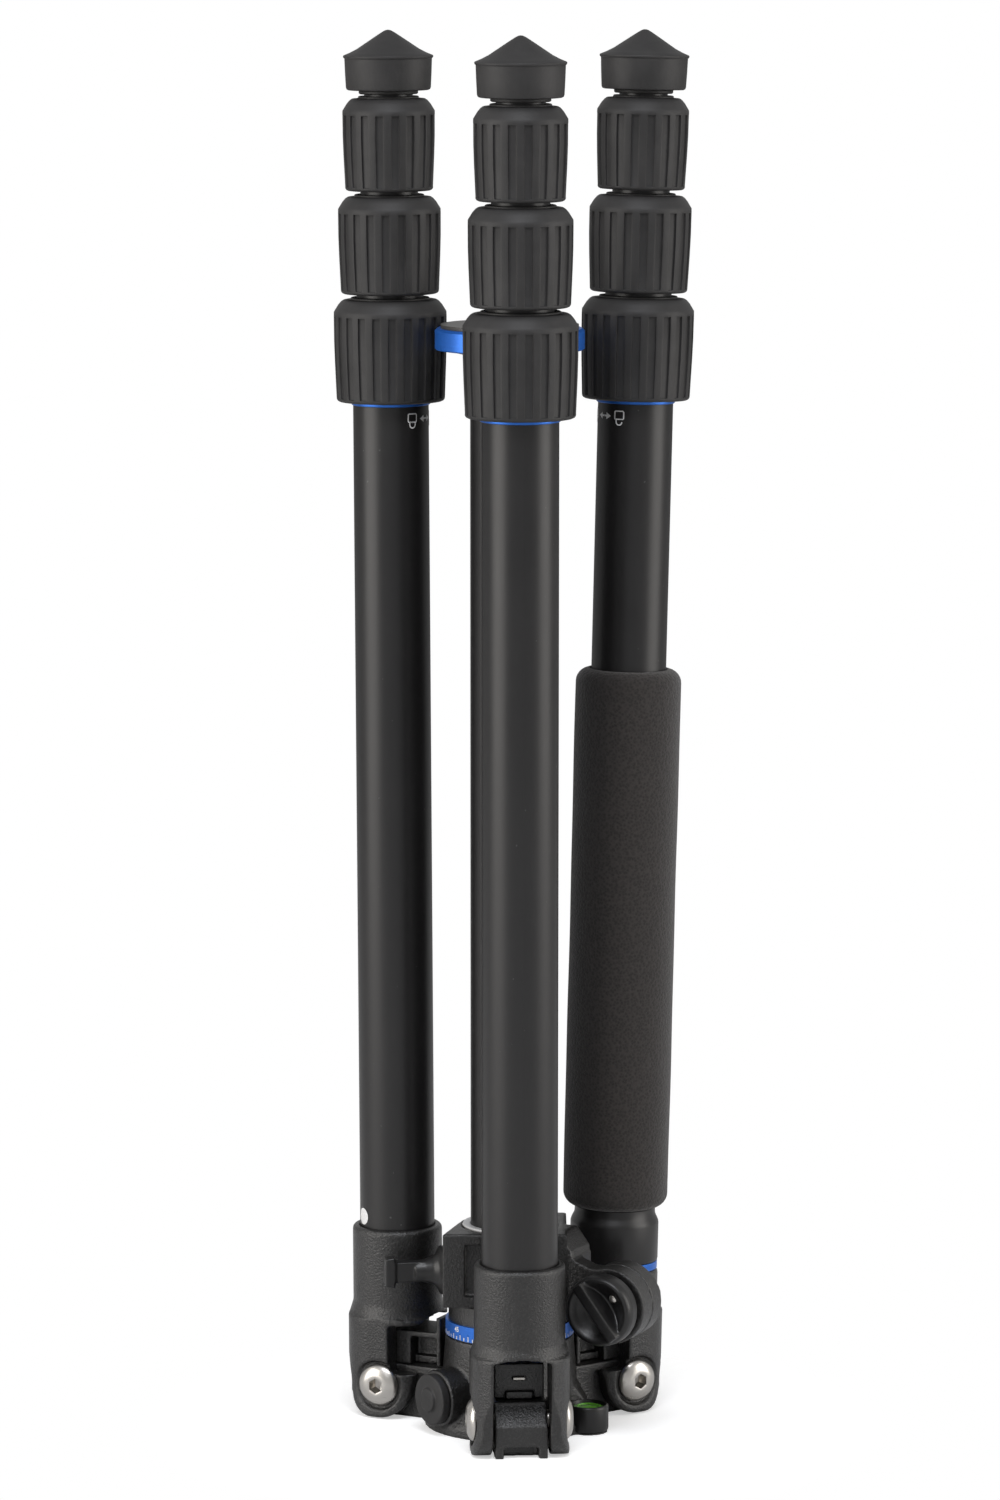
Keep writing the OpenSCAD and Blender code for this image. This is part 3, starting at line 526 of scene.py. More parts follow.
# %% Ribbed drum
def lock_profile(size):
    wide, tall = lock_radius[size], lock_height[size]
    inner, neck = tube_radius[size] + 0.12 * mm, tube_radius[size + 1] + 2 * mm
    throat = tube_radius[size + 1] + 0.3 * mm
    shoulder = tall - 4.6 * mm
    return [
        (inner, 0), (wide - 1.6 * mm, 0), (wide - 1.1 * mm, 0.25 * mm), (wide - 0.8 * mm, 0.7 * mm),
        (wide - 0.72 * mm, 1.2 * mm), (wide - 0.25 * mm, tall * 0.38), (wide - 0.05 * mm, tall * 0.58),
        (wide, shoulder - 1.6 * mm), (wide - 0.04 * mm, shoulder - 0.2 * mm),
        (wide - 0.4 * mm, shoulder + 0.4 * mm), (wide - 1.45 * mm, shoulder + 2.1 * mm),
        (wide - 2.4 * mm, shoulder + 3.2 * mm), (wide - 3.2 * mm, shoulder + 3.75 * mm),
        (neck, shoulder + 3.9 * mm), (neck, tall - 0.2 * mm), (neck - 0.3 * mm, tall),
        (throat, tall), (throat, tall - 3 * mm), (inner, tall - 4 * mm), (inner, 0)]


def push_grooves(drum, size):
    """Sinks the groove faces of a drum by the ribs' depth."""
    groove_top = lock_height[size] - groove_headroom
    bpy.ops.object.mode_set(mode="EDIT")
    bpy.ops.mesh.select_mode(type="FACE")
    bpy.ops.mesh.select_all(action="DESELECT")
    bpy.ops.object.mode_set(mode="OBJECT")
    for polygon in drum.data.polygons:
        x, y, z = polygon.center
        share = (math.atan2(y, x) / math.tau * rib_counts[size]) % 1.0
        outside = math.hypot(x, y) > lock_radius[size] - 1.2 * mm
        polygon.select = outside and groove_foot < z < groove_top and share < 0.5
    bpy.ops.object.mode_set(mode="EDIT")
    bpy.ops.mesh.extrude_region_move()
    sink = 1 - rib_depth / lock_radius[size]
    bpy.ops.transform.resize(value=(sink, sink, 1), center_override=(0, 0, 0))
    bpy.ops.object.mode_set(mode="OBJECT")


def ribbed_lock(size):
    drum = turned(f"lock_pattern_{size + 1}", lock_profile(size),
                  sides=rib_counts[size] * segments_per_rib, hollow=True)
    push_grooves(drum, size)
    round_edges(drum, 0.22 * mm, segments=2, angle=30)
    smooth(drum, 40)
    return drum


for size in range(len(lock_start)):
    pattern = ribbed_lock(size)
    for leg in LEGS:
        grip = copy_of(pattern, f"{leg}_twist_grip_{size + 1}")
        settle(grip, place_of[leg] @ Matrix.Translation((0, 0, lock_start[size])))
        dress(grip, "rubber_black", f"{leg}_twist_{size + 1}", f"{leg}_lock_{size + 1}")
    bpy.data.objects.remove(pattern)
print("locks:", len(lock_start) * len(LEGS))

# %% [markdown]
# Feet. Each is a rubber drum whose side flares a little and ends in a thin lip round a blunt cone.
# It is another turned profile, rounded by its own points.

# %% Rubber feet
foot_start = 430.3 * mm


def foot_profile():
    rim, wide = 13.95, 14.8
    return in_mm([
        (0, 0), (9.4, 0), (9.75, 0.3), (9.75, 1.0), (10.2, 1.25), (rim - 0.8, 1.3),
        (rim - 0.25, 1.55), (rim, 2.2), (rim + 0.25, 7), (rim + 0.42, 11.6), (wide - 0.12, 11.85),
        (wide, 12.15), (wide, 12.45), (wide - 0.15, 12.65), (12.5, 13.55), (10.2, 14.75),
        (7.0, 16.9), (4.0, 18.9), (2.0, 20.2), (1.2, 20.65), (0.6, 20.88), (0, 20.95)])


foot_pattern = turned("foot_pattern", foot_profile(), sides=96)
smooth(foot_pattern, 40)
for leg in LEGS:
    foot = copy_of(foot_pattern, f"{leg}_rubber_foot")
    settle(foot, place_of[leg] @ Matrix.Translation((0, 0, foot_start)))
    dress(foot, "rubber_black", f"{leg}_section_4", f"{leg}_foot")
bpy.data.objects.remove(foot_pattern)
print("feet:", len(LEGS))

# %% [markdown]
# The foam grip is a soft sleeve with full, rounded ends that pull in where they meet the tube.
# Foam is never quite true, so after turning it a slow wave is pressed into its skin: the vertices
# are moved by a fraction of a millimetre in a fixed pattern, which is the same on every run.

# %% Foam grip
foam_start = 57.5 * mm
foam_length = 182 * mm
foam_radius = 17.6 * mm
foam_corner = 4.6 * mm
foam_still_radius = 15 * mm
foam_wave_depth, long_wave, short_wave = 0.06 * mm, 17 * mm, 7.3 * mm


def foam_profile():
    inner, end = tube_radius[0] + 0.25 * mm, 0.5 * mm
    corner_steps, rows = 7, 60
    corner = []
    for step in range(corner_steps + 1):
        turn = math.pi / 2 * step / corner_steps
        corner.append((foam_radius - foam_corner * (1 - math.sin(turn)),
                       foam_corner * (1 - math.cos(turn))))
    straight = foam_length - 2 * foam_corner
    side = [(foam_radius, foam_corner + straight * row / rows) for row in range(1, rows)]
    far_corner = [(radius, foam_length - height) for radius, height in reversed(corner)]
    return [(inner, end), *corner, *side, *far_corner, (inner, foam_length - end), (inner, end)]


def press_waves(piece, depth):
    """Moves a sleeve's skin in and out by a slow wave that dies away towards the tube."""
    for vertex in piece.data.vertices:
        x, y, z = vertex.co
        angle = math.atan2(y, x)
        wave = math.sin(z / long_wave + 2 * angle) + 0.6 * math.sin(z / short_wave - 3 * angle)
        radius = math.hypot(x, y)
        share = max(0.0, (radius - foam_still_radius) / (foam_radius - foam_still_radius))
        vertex.co.x += x / radius * wave * depth * share
        vertex.co.y += y / radius * wave * depth * share


foam = turned("foam_sleeve", foam_profile(), sides=96, hollow=True)
press_waves(foam, foam_wave_depth)
smooth(foam, 50)
settle(foam, place_of["right"] @ Matrix.Translation((0, 0, foam_start)))
dress(foam, "foam_black", "right_leg", "foam_grip")
print("foam grip:", round(foam_length / mm), "mm long")

# %% [markdown]
# The shoulder's castings have no sharp edge anywhere: a die casting comes out of its mould with
# every corner rounded, and the powder coat fills it further. The CAD solids have the right places
# and bores, so each casting starts as a copy of its node. Its doubled vertices are merged, a voxel
# remesh gives it an even skin, and a few rounds of smoothing melt the edges. The low ends of the
# knuckles are rounder still. The collar is drawn up a little at its top, and the turntable's rim
# is kept level above the spider, which it slides past when the turret pans.

# %% Rounded castings
knuckle_low_end, knuckle_foot, knuckle_rounds = 8 * mm, 0.3 * mm, 12
collar_crown, collar_rise = 6 * mm, 1.4 * mm
turntable_rim_height, turntable_neck_radius = 26.3 * mm, 15 * mm


def melt_low_end(piece, height, foot, rounds):
    """Smooths a casting below a height a little further, and keeps its lowest point at foot."""
    low_end = piece.vertex_groups.new(name="low_end")
    below = [vertex.index for vertex in piece.data.vertices if vertex.co.z < height]
    low_end.add(below, 1.0, "REPLACE")
    apply_modifier(piece, "SMOOTH", factor=0.5, iterations=rounds, vertex_group="low_end")
    lowest = min(vertex.co.z for vertex in piece.data.vertices)
    stretch = (height - foot) / (height - lowest)
    for vertex in piece.data.vertices:
        if vertex.co.z < height:
            vertex.co.z = height - (height - vertex.co.z) * stretch


def soft_casting(node, body, slot, voxel=0.5 * mm, rounds=4):
    """A copy of a CAD node with melted edges, which stands for it."""
    clear_selection()
    piece = copy_of(nodes[node], f"{node}_casting")
    piece.parent = None
    bpy.context.view_layer.objects.active = piece
    piece.select_set(True)
    bpy.ops.object.mode_set(mode="EDIT")
    bpy.ops.mesh.select_all(action="SELECT")
    bpy.ops.mesh.remove_doubles(threshold=0.005 * mm)
    bpy.ops.object.mode_set(mode="OBJECT")
    apply_modifier(piece, "REMESH", mode="VOXEL", voxel_size=voxel, adaptivity=0.0)
    apply_modifier(piece, "SMOOTH", factor=0.5, iterations=rounds)
    smooth(piece, 50)
    dress(piece, slot, body, node)
    return piece


for leg in LEGS:
    knuckle = soft_casting(f"{leg}_knuckle", f"{leg}_leg", "cast_black")
    melt_low_end(knuckle, knuckle_low_end, knuckle_foot, knuckle_rounds)
soft_casting("spider", "shoulder", "cast_black")
collar = soft_casting("column_collar", "turret", "cast_black")
collar_top = max(vertex.co.z for vertex in collar.data.vertices)
for vertex in collar.data.vertices:
    if vertex.co.z > collar_top - collar_crown:
        vertex.co.z += collar_rise
soft_casting("accessory_plug", "shoulder", "rubber_black", voxel=0.3 * mm, rounds=12)
turntable = soft_casting("turntable", "turret", "cast_black")
for vertex in turntable.data.vertices:
    if vertex.co.z < turntable_rim_height and vertex.co.xy.length > turntable_neck_radius:
        vertex.co.z = turntable_rim_height
print("castings:", len(LEGS) + 4)

# %% [markdown]
# Knobs. Each turns about a joint of the frame, so the joint's place and axis give the knob its own
# frame: Z out of its face, Y up. A knob is moulded in one piece, so its separate rough parts are
# joined, a voxel remesh fuses them into one skin and smoothing melts fillets into every corner.

# %% Knob helpers
def knob_place(joint, outward, offset=0.0):
    """A frame on a joint with Z along outward and Y up, moved along Z by offset."""
    face = Vector(outward).normalized()
    return place_with(UP.cross(face), UP, face, Vector(joints[joint]["pos_m"]) + face * offset)


def block(name, centre, size, taper=1.0):
    """A box whose top is drawn in to a share of its base's width along Y."""
    clear_selection()
    bpy.ops.mesh.primitive_cube_add(size=1, location=centre)
    piece = bpy.context.object
    piece.name = name
    piece.scale = size
    bpy.ops.object.transform_apply(location=True, rotation=True, scale=True)
    bpy.ops.object.mode_set(mode="EDIT")
    bpy.ops.mesh.select_mode(type="FACE")
    bpy.ops.mesh.select_all(action="DESELECT")
    bpy.ops.object.mode_set(mode="OBJECT")
    for polygon in piece.data.polygons:
        polygon.select = polygon.normal.z > 0.9
    bpy.ops.object.mode_set(mode="EDIT")
    bpy.ops.transform.resize(value=(1, taper, 1), center_override=centre)
    bpy.ops.object.mode_set(mode="OBJECT")
    return piece


def fuse(name, pieces, voxel, rounds):
    """Joins rough parts into one moulded skin."""
    moulding = join(name, pieces)
    apply_modifier(moulding, "REMESH", mode="VOXEL", voxel_size=voxel, adaptivity=0.0)
    apply_modifier(moulding, "SMOOTH", factor=0.5, iterations=rounds)
    smooth(moulding, 60)
    return moulding


# %% [markdown]
# The tilt knob is a deep dish with a crest across it, which leaves a scoop for a finger on each
# side. The crest runs from upper left to lower right, as the knob was left in the photograph. In
# the upper scoop something bright catches the light: it is made as a small domed steel cap.

# %% Tilt knob
tilt_face = 8.87 * mm
tilt_azimuth = math.radians(334.5)
crest_turn = math.radians(128)
crest_height, crest_size, crest_taper = 6.3 * mm, (21.6 * mm, 8.2 * mm, 7.8 * mm), 0.42
cap_offset = (4.9 * mm, 4.6 * mm, 4.8 * mm)
dish = [(0, 0), (10.2, 0), (11.4, 0.7), (11.9, 1.9), (11.95, 5.2), (11.6, 6.9), (11.0, 7.8),
        (10.2, 8.1), (9.3, 7.6), (7.9, 6.2), (5.4, 4.6), (2.6, 3.9), (0, 3.7)]
knob_body = turned("tilt_knob_body", in_mm(dish))
crest = block("crest", (0, 0, crest_height), crest_size, taper=crest_taper)
tilt_knob = fuse("tilt_lock_knob", [knob_body, crest], 0.28 * mm, 8)
tilt_out = (math.sin(tilt_azimuth), -math.cos(tilt_azimuth), 0)
tilt_knob_place = knob_place("tilt_knob_turn", tilt_out, tilt_face)
settle(tilt_knob, tilt_knob_place @ Matrix.Rotation(crest_turn, 4, "Z"))
dress(tilt_knob, "black_plastic", "tilt_lock", "tilt_knob")
cap_profile = [(0, 0), (1.5, 0), (1.6, 0.5), (1.3, 1.0), (0.7, 1.25), (0, 1.3)]
cap = turned("tilt_knob_cap", in_mm(cap_profile), sides=40)
smooth(cap, 50)
settle(cap, tilt_knob_place @ Matrix.Translation(cap_offset))
dress(cap, "bright_steel", "tilt_lock")
print("tilt knob and its cap done")

# %% [markdown]
# The column knob is a T: a flange against the collar, a trumpet-shaped neck, a flat web and a
# rounded bar for finger and thumb.

# %% Column knob
neck = [(0, 0.6), (7.5, 0.6), (8.2, 1.1), (8.3, 1.9), (7.7, 2.5), (6.0, 3.3), (4.7, 4.9),
        (3.9, 7.4), (3.3, 11.0), (0, 11.5)]
knob_neck = turned("column_knob_neck", in_mm(neck))
web_height, web_size = 13.0 * mm, (4.4 * mm, 6.8 * mm, 12.0 * mm)
bar_height, bar_size = 19.2 * mm, (5.0 * mm, 10.4 * mm, 3.4 * mm)
web = block("web", (0, 0, web_height), web_size)
bar = block("bar", (0, 0, bar_height), bar_size, taper=0.9)
column_knob = fuse("column_lock_knob", [knob_neck, web, bar], 0.28 * mm, 14)
knob_x, knob_y, knob_z = joints["column_knob_turn"]["pos_m"]
settle(column_knob, knob_place("column_knob_turn", (knob_x, knob_y, 0)))
dress(column_knob, "black_plastic", "column_lock", "column_knob")
print("column knob at height", round(knob_z / mm, 1), "mm")

# %% [markdown]
# Button heads. Each pivot has a sleeve nut on one side and a screw on the other, with the same low
# dome and hex socket. The dome and the shank that the lug hides are turned in one profile, the
# socket is cut with a six-sided bar, and the pattern is copied to both sides of the three pivots.
# The leg's hinge axis shows which way each head faces.

# %% Button heads
def button_head():
    socket_radius, socket_floor, bar_length = 2.6 * mm, 13 * mm, 10 * mm
    dome = [(0, 0.1), (2.9, 0.1), (2.9, 14.5), (6.6, 14.5), (6.95, 14.65), (7.1, 14.95), (7.1, 15.3),
            (6.9, 15.75), (6.2, 16.45), (5.2, 17.05), (4.2, 17.4), (3.4, 17.55), (0, 17.6)]
    head = turned("button_head", in_mm(dome), sides=72)
    clear_selection()
    bpy.ops.mesh.primitive_cylinder_add(vertices=6, radius=socket_radius, depth=bar_length,
                                        location=(0, 0, socket_floor + bar_length / 2))
    socket_bar = bpy.context.object
    apply_modifier(head, "BOOLEAN", object=socket_bar, operation="DIFFERENCE", solver="EXACT")
    bpy.data.objects.remove(socket_bar)
    round_edges(head, 0.14 * mm, segments=2, angle=40)
    smooth(head, 40)
    return head


head_pattern = button_head()
for side, node in ((1, "pivot_screws"), (-1, "pivot_sleeves")):
    heads = []
    for leg in LEGS:
        head = copy_of(head_pattern, f"{leg}_{node}")
        settle(head, knob_place(f"{leg}_leg_fold", hinge_of(leg)[0] * side))
        heads.append(head)
    dress(join(f"{node}_polished", heads), "bright_steel", "shoulder", node)
bpy.data.objects.remove(head_pattern)
print("button heads:", 2 * len(LEGS))

# %% [markdown]
# Marks printed round a turned part. A mark is drawn flat, with X along the print and Y up it. Its
# vertices are then wrapped round the part: X becomes an angle, and the mark floats a hair above
# the surface. Text and curves are turned into meshes first.

# %% Wrapping printed marks
mark_lift = 0.06 * mm
mark_flattening = 0.2


def wrapped(mark, radius, azimuth, base, place=Matrix.Identity(4)):
    """Wraps a flat mark round Z at a radius, at an azimuth in degrees and a height, then places it."""
    clear_selection()
    bpy.context.view_layer.objects.active = mark
    mark.select_set(True)
    if mark.type != "MESH":
        bpy.ops.object.convert(target="MESH")
        mark = bpy.context.object
    bpy.ops.object.transform_apply(location=True, rotation=True, scale=True)
    for vertex in mark.data.vertices:
        angle = math.radians(azimuth) + vertex.co.x / radius
        reach = radius + mark_lift + vertex.co.z * mark_flattening
        vertex.co = (reach * math.cos(angle), reach * math.sin(angle), base + vertex.co.y)
    settle(mark, place)
    return mark


def bar_mark(name, width, height, foot=0.0):
    """A flat rectangle that stands on foot."""
    clear_selection()
    bpy.ops.mesh.primitive_plane_add(size=1, location=(0, foot + height / 2, 0))
    bpy.context.object.name = name
    bpy.context.object.scale = (width, height, 1)
    return bpy.context.object


def line_mark(name, points, thickness):
    """An open line through points, as a curve with a round section."""
    curve = bpy.data.curves.new(name, "CURVE")
    curve.dimensions = "3D"
    curve.bevel_depth = thickness / 2
    curve.bevel_resolution = 1
    line = curve.splines.new("POLY")
    line.points.add(len(points) - 1)
    for point, (x, y) in zip(line.points, points):
        point.co = (x, y, 0, 1)
    mark = bpy.data.objects.new(name, curve)
    bpy.context.collection.objects.link(mark)
    return mark


def ink(mark, body):
    """Prints a mark in white on a body."""
    mark.data.materials.clear()
    mark.data.materials.append(INK)
    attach(mark, body)


# %% [markdown]
# The scale ring has a tick every five degrees, longer every ten, that rises from its lower edge.
# Plain numbers stand above the ticks every 45 degrees.

# %% Ticks and numbers of the scale ring
scale_radius, scale_low = 21.4 * mm, 31.03 * mm
scale_zero = 170
long_tick, short_tick, tick_width = 1.75 * mm, 1.15 * mm, 0.34 * mm
number_size, number_foot, number_weight = 2.3 * mm, 2.75 * mm, 0.05 * mm
tick_step, long_tick_step, number_step = 5, 10, 45
scale_marks = []
for turn in range(0, 360, tick_step):
    tick = bar_mark("tick", tick_width, short_tick if turn % long_tick_step else long_tick)
    scale_marks.append(wrapped(tick, scale_radius, scale_zero + turn, scale_low + 0.1 * mm))
for turn in range(0, 360, number_step):
    clear_selection()
    bpy.ops.object.text_add()
    number = bpy.context.object
    number.data.body = str(turn)
    number.data.size = number_size
    number.data.align_x = "CENTER"
    number.data.offset = number_weight
    scale_marks.append(wrapped(number, scale_radius, scale_zero + turn, scale_low + number_foot))
print("scale marks:", len(scale_marks))
ink(join("scale_marks", scale_marks), "turret")

# %% [markdown]
# Below its first lock each upper tube carries a printed sign on the side that faces the column: a
# closed padlock, a double arrow and an open padlock, all standing on their heads because the legs
# are folded up. The padlocks are lines and the arrow is two triangles and a bar.

# %% Lock signs on the tubes
def padlock(name, closed):
    bow_radius, bow_height, line_width = 1.05, 0.9, 0.44
    bow = [(-bow_radius, 0), (-bow_radius, -bow_height)]
    for degrees in range(210, 361, 30):
        turn = math.radians(degrees)
        bow.append((bow_radius * math.cos(turn), bow_radius * math.sin(turn) - bow_height))
    if closed:
        bow.append((bow_radius, 0))
    case = [(-1.4, 0), (0, 0), (1.4, 0), (1.6, 0.2), (1.6, 2.4), (1.3, 2.7), (0, 2.7),
            (-1.3, 2.7), (-1.6, 2.4), (-1.6, 0.2), (-1.4, 0)]
    return [line_mark(f"{name}_{part}", in_mm(points), line_width * mm)
            for part, points in (("case", case), ("bow", bow))]


def double_arrow(name):
    bar_length, bar_width = 2.6 * mm, 0.6 * mm
    head_radius, head_offset, middle = 1.35 * mm, 1.75 * mm, 0.9 * mm
    pieces = [bar_mark(f"{name}_bar", bar_length, bar_width, foot=middle - bar_width / 2)]
    for side in (-1, 1):
        clear_selection()
        bpy.ops.mesh.primitive_circle_add(vertices=3, radius=head_radius, fill_type="NGON",
                                          location=(side * head_offset, middle, 0),
                                          rotation=(0, 0, -side * math.pi / 2))
        pieces.append(bpy.context.object)
    return pieces


sign_height = lock_start[0] - 6.2 * mm
sign_azimuth, sign_spacing = 180, 29
for leg in LEGS:
    marks = []
    for step, parts in ((-1, padlock("shut", True)), (0, double_arrow("arrow")),
                        (1, padlock("open", False))):
        azimuth = sign_azimuth + sign_spacing * step
        marks += [wrapped(part, tube_radius[0], azimuth, sign_height, place_of[leg]) for part in parts]
    ink(join(f"{leg}_lock_sign", marks), f"{leg}_leg")
print("lock signs:", len(LEGS))

# %% [markdown]
# The left tube also has a round white label, seen edge-on in the photograph. Its rings of vertices
# come from a flat turned profile, so that it bends smoothly round the tube.

# %% Round label
label_azimuth, label_height = 52, 56.0 * mm
label = turned("round_label", in_mm([(0, 0), (0.9, 0), (1.8, 0), (2.8, 0)]), sides=32)
ink(wrapped(label, tube_radius[0], label_azimuth, label_height, place_of["left"]), "left_leg")
print("label at", round(label_height / mm), "mm above the pivot")

# %% [markdown]
# The bubble level: a thick moulded cup with a rolled rim, and a green vial whose domed top has a
# ring pressed into it, inside which the bubble rests. The frame's own cup gives place and height.

# %% Bubble level
(cup_left, cup_right), (cup_front, cup_back), (cup_low, cup_high) = (
    span_of("level_cup", axis) for axis in range(3))
cup_place = Matrix.Translation(((cup_left + cup_right) / 2, (cup_front + cup_back) / 2, cup_low))
cup_tall = (cup_high - cup_low) / mm
cup = turned("level_housing", in_mm([
    (0, 0), (6.2, 0), (6.6, 0.35), (6.75, 0.9), (6.75, cup_tall - 0.9), (6.6, cup_tall - 0.3),
    (6.2, cup_tall), (5.75, cup_tall - 0.05), (5.5, cup_tall - 0.45), (5.35, 1.6), (0, 1.5)]), sides=72)
smooth(cup, 40)
settle(cup, cup_place)
dress(cup, "black_plastic", "shoulder", "level_cup")
vial_top = cup_tall - 0.7
vial = turned("level_liquid", in_mm([
    (0, 1.55), (5.2, 1.55), (5.3, vial_top - 0.7), (5.0, vial_top - 0.2), (4.4, vial_top),
    (3.6, vial_top + 0.05), (3.3, vial_top - 0.25), (2.6, vial_top - 0.2), (1.3, vial_top),
    (0, vial_top + 0.08)]), sides=72)
smooth(vial, 40)
settle(vial, cup_place)
dress(vial, "level_green", "shoulder", "level_vial")
print("level cup:", round(cup_tall, 1), "mm tall")

# %% [markdown]
# Bright trim. The collar's liner shows as a pale ring round the column, each upper tube ends in a
# thin blue ring under its first lock, and the coupler's sleeve has a turned chamfer under the foam.

# %% Liner, trim rings and coupler
liner_foot = 43.05 * mm
liner = turned("bright_liner", in_mm([
    (13.1, 0), (14.9, 0), (14.9, 23.8), (15.5, 24.2), (15.7, 24.7), (15.5, 25.1), (13.5, 25.2),
    (13.1, 25.0), (13.1, 0)]), hollow=True)
smooth(liner, 40)
settle(liner, Matrix.Translation((0, 0, liner_foot)))
dress(liner, "liner_grey", "turret", "collar_liner")

trim_profile = [(12.52, 0), (12.75, 0), (13.0, 0.2), (13.05, 0.5), (13.05, 1.15), (12.52, 1.15),
                (12.52, 0)]
trim_foot = lock_start[0] - 1.2 * mm
for leg in LEGS:
    trim = turned(f"{leg}_blue_trim", in_mm(trim_profile), hollow=True)
    smooth(trim, 40)
    settle(trim, place_of[leg] @ Matrix.Translation((0, 0, trim_foot)))
    dress(trim, "anodised_blue", f"{leg}_leg", f"{leg}_trim_ring")

sleeve_low, sleeve_high = span_of("coupler_sleeve", 2, place_of["right"])
sleeve_tall = (sleeve_high - sleeve_low) / mm
sleeve = turned("coupler_sleeve_turned", in_mm([
    (12.6, 0), (14.4, 0), (14.7, 0.3), (14.85, 0.8), (14.85, sleeve_tall - 5.6),
    (14.75, sleeve_tall - 5.0), (14.45, sleeve_tall - 4.2), (13.9, sleeve_tall - 3.1),
    (13.6, sleeve_tall - 2.3), (13.5, sleeve_tall - 0.2), (13.3, sleeve_tall - 0.05),
    (12.6, sleeve_tall - 0.05), (12.6, 0)]), hollow=True)
smooth(sleeve, 40)
settle(sleeve, place_of["right"] @ Matrix.Translation((0, 0, sleeve_low)))
dress(sleeve, "tube_black", "right_leg", "coupler_sleeve")
print("coupler sleeve:", round(sleeve_tall, 1), "mm tall")

# %% [markdown]
# Angle stops. Each is a small casting between the cheeks of a knuckle: a tongue that runs on the
# lug, a tall block, and a flange with an upturned lip behind it for the fingers. Blocks drawn on
# the leg's pivot are fused into one skin, and a small steel pin lies across the block's front.

# %% Angle stops
pin_place = Matrix.Translation((-1.5 * mm, 0, 13.2 * mm)) @ Matrix.Rotation(math.pi / 2, 4, "X")
pin_profile = [(0, -2.4), (0.5, -2.3), (0.78, -1.9), (0.8, -1.5), (0.8, 1.5), (0.78, 1.9), (0.5, 2.3),
               (0, 2.4)]


def box_between(name, low, high):
    """A block between two corners in millimetres."""
    centre = [(start + end) / 2 * mm for start, end in zip(low, high)]
    return block(name, centre, [(end - start) * mm for start, end in zip(low, high)])


def radial_place(leg):
    """A frame on a leg's pivot with X outward, Y along its hinge and Z up."""
    hinge, pivot = hinge_of(leg)
    return place_with(hinge.cross(UP), hinge, UP, pivot)


for leg in LEGS:
    stop = fuse(f"{leg}_stop_tab", [
        box_between("tongue", (-19, -4.5, 6.5), (-0.2, 4.5, 9.0)),
        box_between("block", (-8.6, -8.2, 6.5), (-1.6, 8.2, 18.1)),
        box_between("web", (-19, -2.5, 6.5), (-7, 2.5, 17)),
        box_between("flange", (-19, -8.2, 16.0), (-7, 8.2, 18.1)),
        box_between("lip", (-19.7, -8.2, 6.5), (-18.1, 8.2, 23.2))], 0.33 * mm, 5)
    settle(stop, radial_place(leg))
    dress(stop, "cast_black", f"{leg}_stop", f"{leg}_angle_stop")
    pin = turned(f"{leg}_stop_pin", in_mm(pin_profile), sides=32)
    smooth(pin, 50)
    settle(pin, radial_place(leg) @ pin_place)
    dress(pin, "bright_steel", f"{leg}_stop")
print("angle stops:", len(LEGS))

# %% [markdown]
# The tripod stands on a pale floor that runs out of the picture. To the camera the floor glows, so
# that it looks white without throwing more light on the object: Light Path tells the shader which
# kind of ray is asking. Near the tripod it glows less and keeps the tripod's shadow. Further out it
# fades from the camera's sight, so that a leg folded down below it can be seen against the white.

# %% Floor
floor_glow_near, floor_glow_far = 0.45, 0.85
floor_reach = 2.0
clear_selection()
bpy.ops.mesh.primitive_plane_add(size=60, location=(0, 0, -0.05 * mm))
floor = bpy.context.object
floor.name = "floor"
bpy.ops.object.transform_apply(location=True, rotation=True, scale=True)
floor_paint = Finish("floor_paint", Base_Color=grey(0.86), Roughness=0.8, Specular_IOR_Level=0.2,
                     Emission_Strength=1.0)
asking = floor_paint.add("ShaderNodeLightPath", output="Is Camera Ray")
spread = floor_paint.add("ShaderNodeMapping", None,
                         {"Vector": floor_paint.place, "Scale": (1 / floor_reach,) * 3})
nearness = floor_paint.add("ShaderNodeTexGradient", {"gradient_type": "SPHERICAL"}, {"Vector": spread})
glow = floor_paint.blend(nearness, grey(floor_glow_far), grey(floor_glow_near))
glow = floor_paint.blend(asking, grey(0.0), glow)
floor_paint.feed(floor_paint.shader.inputs["Emission Color"], glow)
away = floor_paint.ramp(nearness, [(0.94, 1.0), (0.965, 0.0)])
floor_paint.feed(floor_paint.shader.inputs["Alpha"], 1 - asking * away)
floor.data.materials.append(floor_paint.material)
print("floor:", round(floor.dimensions.x), "m wide")

# %% [markdown]
# The world is a dim grey that fills the shadows a little. The camera sees it as white, through the
# faded floor too, and metal mirrors it at some of that strength. A Light Path node and three Math
# nodes work out how strongly each kind of ray should see it.

# %% White world
world_dim, world_bright, world_mirrored = 0.17, 1.0, 0.45
world = bpy.data.worlds.new("white_room")
bpy.context.scene.world = world
world.use_nodes = True
sky = world.node_tree
sky_rays = sky.nodes.new("ShaderNodeLightPath").outputs


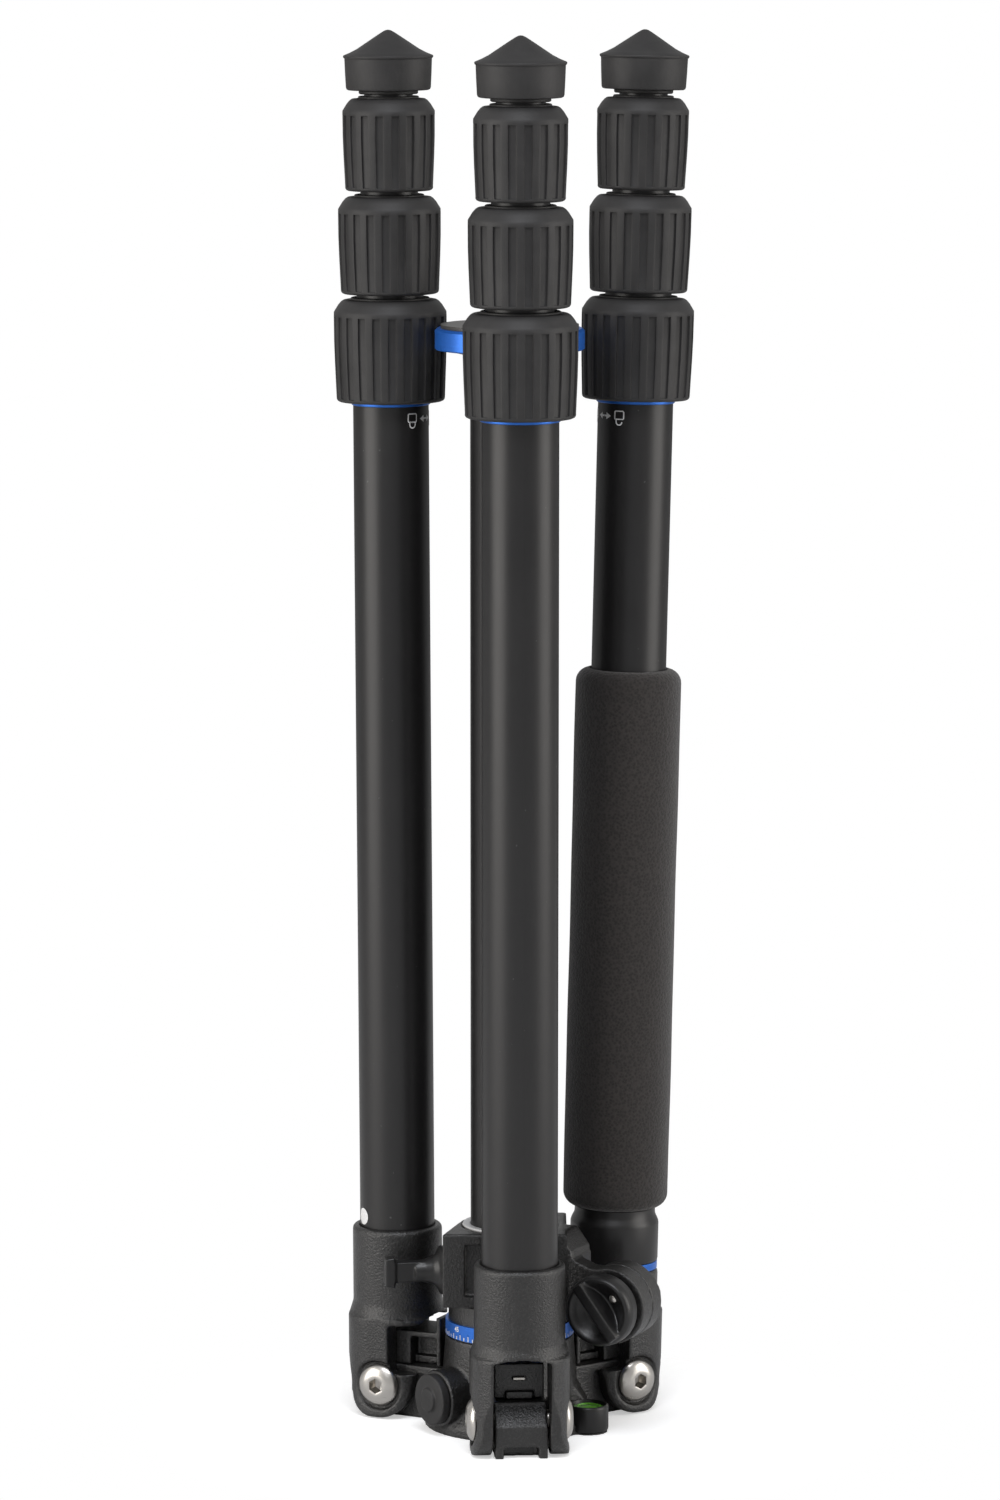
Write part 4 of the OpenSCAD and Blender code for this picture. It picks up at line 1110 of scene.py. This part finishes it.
def sky_maths(operation, first, second):
    """A Math node in the world's tree, on one link and another link or number."""
    node = sky.nodes.new("ShaderNodeMath")
    node.operation = operation
    sky.links.new(first, node.inputs[0])
    if isinstance(second, float):
        node.inputs[1].default_value = second
    else:
        sky.links.new(second, node.inputs[1])
    return node.outputs[0]


seen = sky_maths("MAXIMUM", sky_rays["Is Camera Ray"], sky_rays["Is Transmission Ray"])
mirrored = sky_maths("MULTIPLY", sky_rays["Is Glossy Ray"], world_mirrored)
sky_level = sky.nodes.new("ShaderNodeMapRange")
sky_level.inputs["To Min"].default_value = world_dim
sky_level.inputs["To Max"].default_value = world_bright
sky.links.new(sky_maths("MAXIMUM", seen, mirrored), sky_level.inputs["Value"])
sky_light = sky.nodes["Background"]
sky_light.inputs["Color"].default_value = grey(1.0)
sky.links.new(sky_level.outputs[0], sky_light.inputs["Strength"])
print("world strength:", world_dim, "to", world_bright)

# %% [markdown]
# Two tall soft boxes stand left and right of the tripod and draw the long pale streaks down both
# sides of every tube. A softer lamp overhead opens the top faces, and a weak one in front keeps
# the black parts from sinking into one dark shape.

# %% Soft lamps
lamp_aim = Vector((0, 0, 230 * mm))
warm, cool = (1.0, 0.97, 0.93), (0.93, 0.95, 1.0)


def soft_lamp(name, place, width, height, power, colour):
    """A rectangular area lamp turned towards the middle of the tripod."""
    bpy.ops.object.light_add(type="AREA", location=place)
    lamp = bpy.context.object
    lamp.name = name
    lamp.data.shape = "RECTANGLE"
    lamp.data.size = width
    lamp.data.size_y = height
    lamp.data.energy = power
    lamp.data.color = colour
    lamp.rotation_euler = (lamp_aim - Vector(place)).to_track_quat("-Z", "Y").to_euler()
    print(name, power, "W")


soft_lamp("left_box", (-1.25, -0.55, 0.42), 1.0, 1.3, 17, warm)
soft_lamp("right_box", (1.3, -0.3, 0.42), 0.9, 1.3, 13, warm)
soft_lamp("top_box", (0.0, -0.9, 1.55), 0.9, 0.5, 16, cool)
soft_lamp("front_fill", (-0.35, -1.7, 1.1), 0.7, 0.7, 1.5, cool)
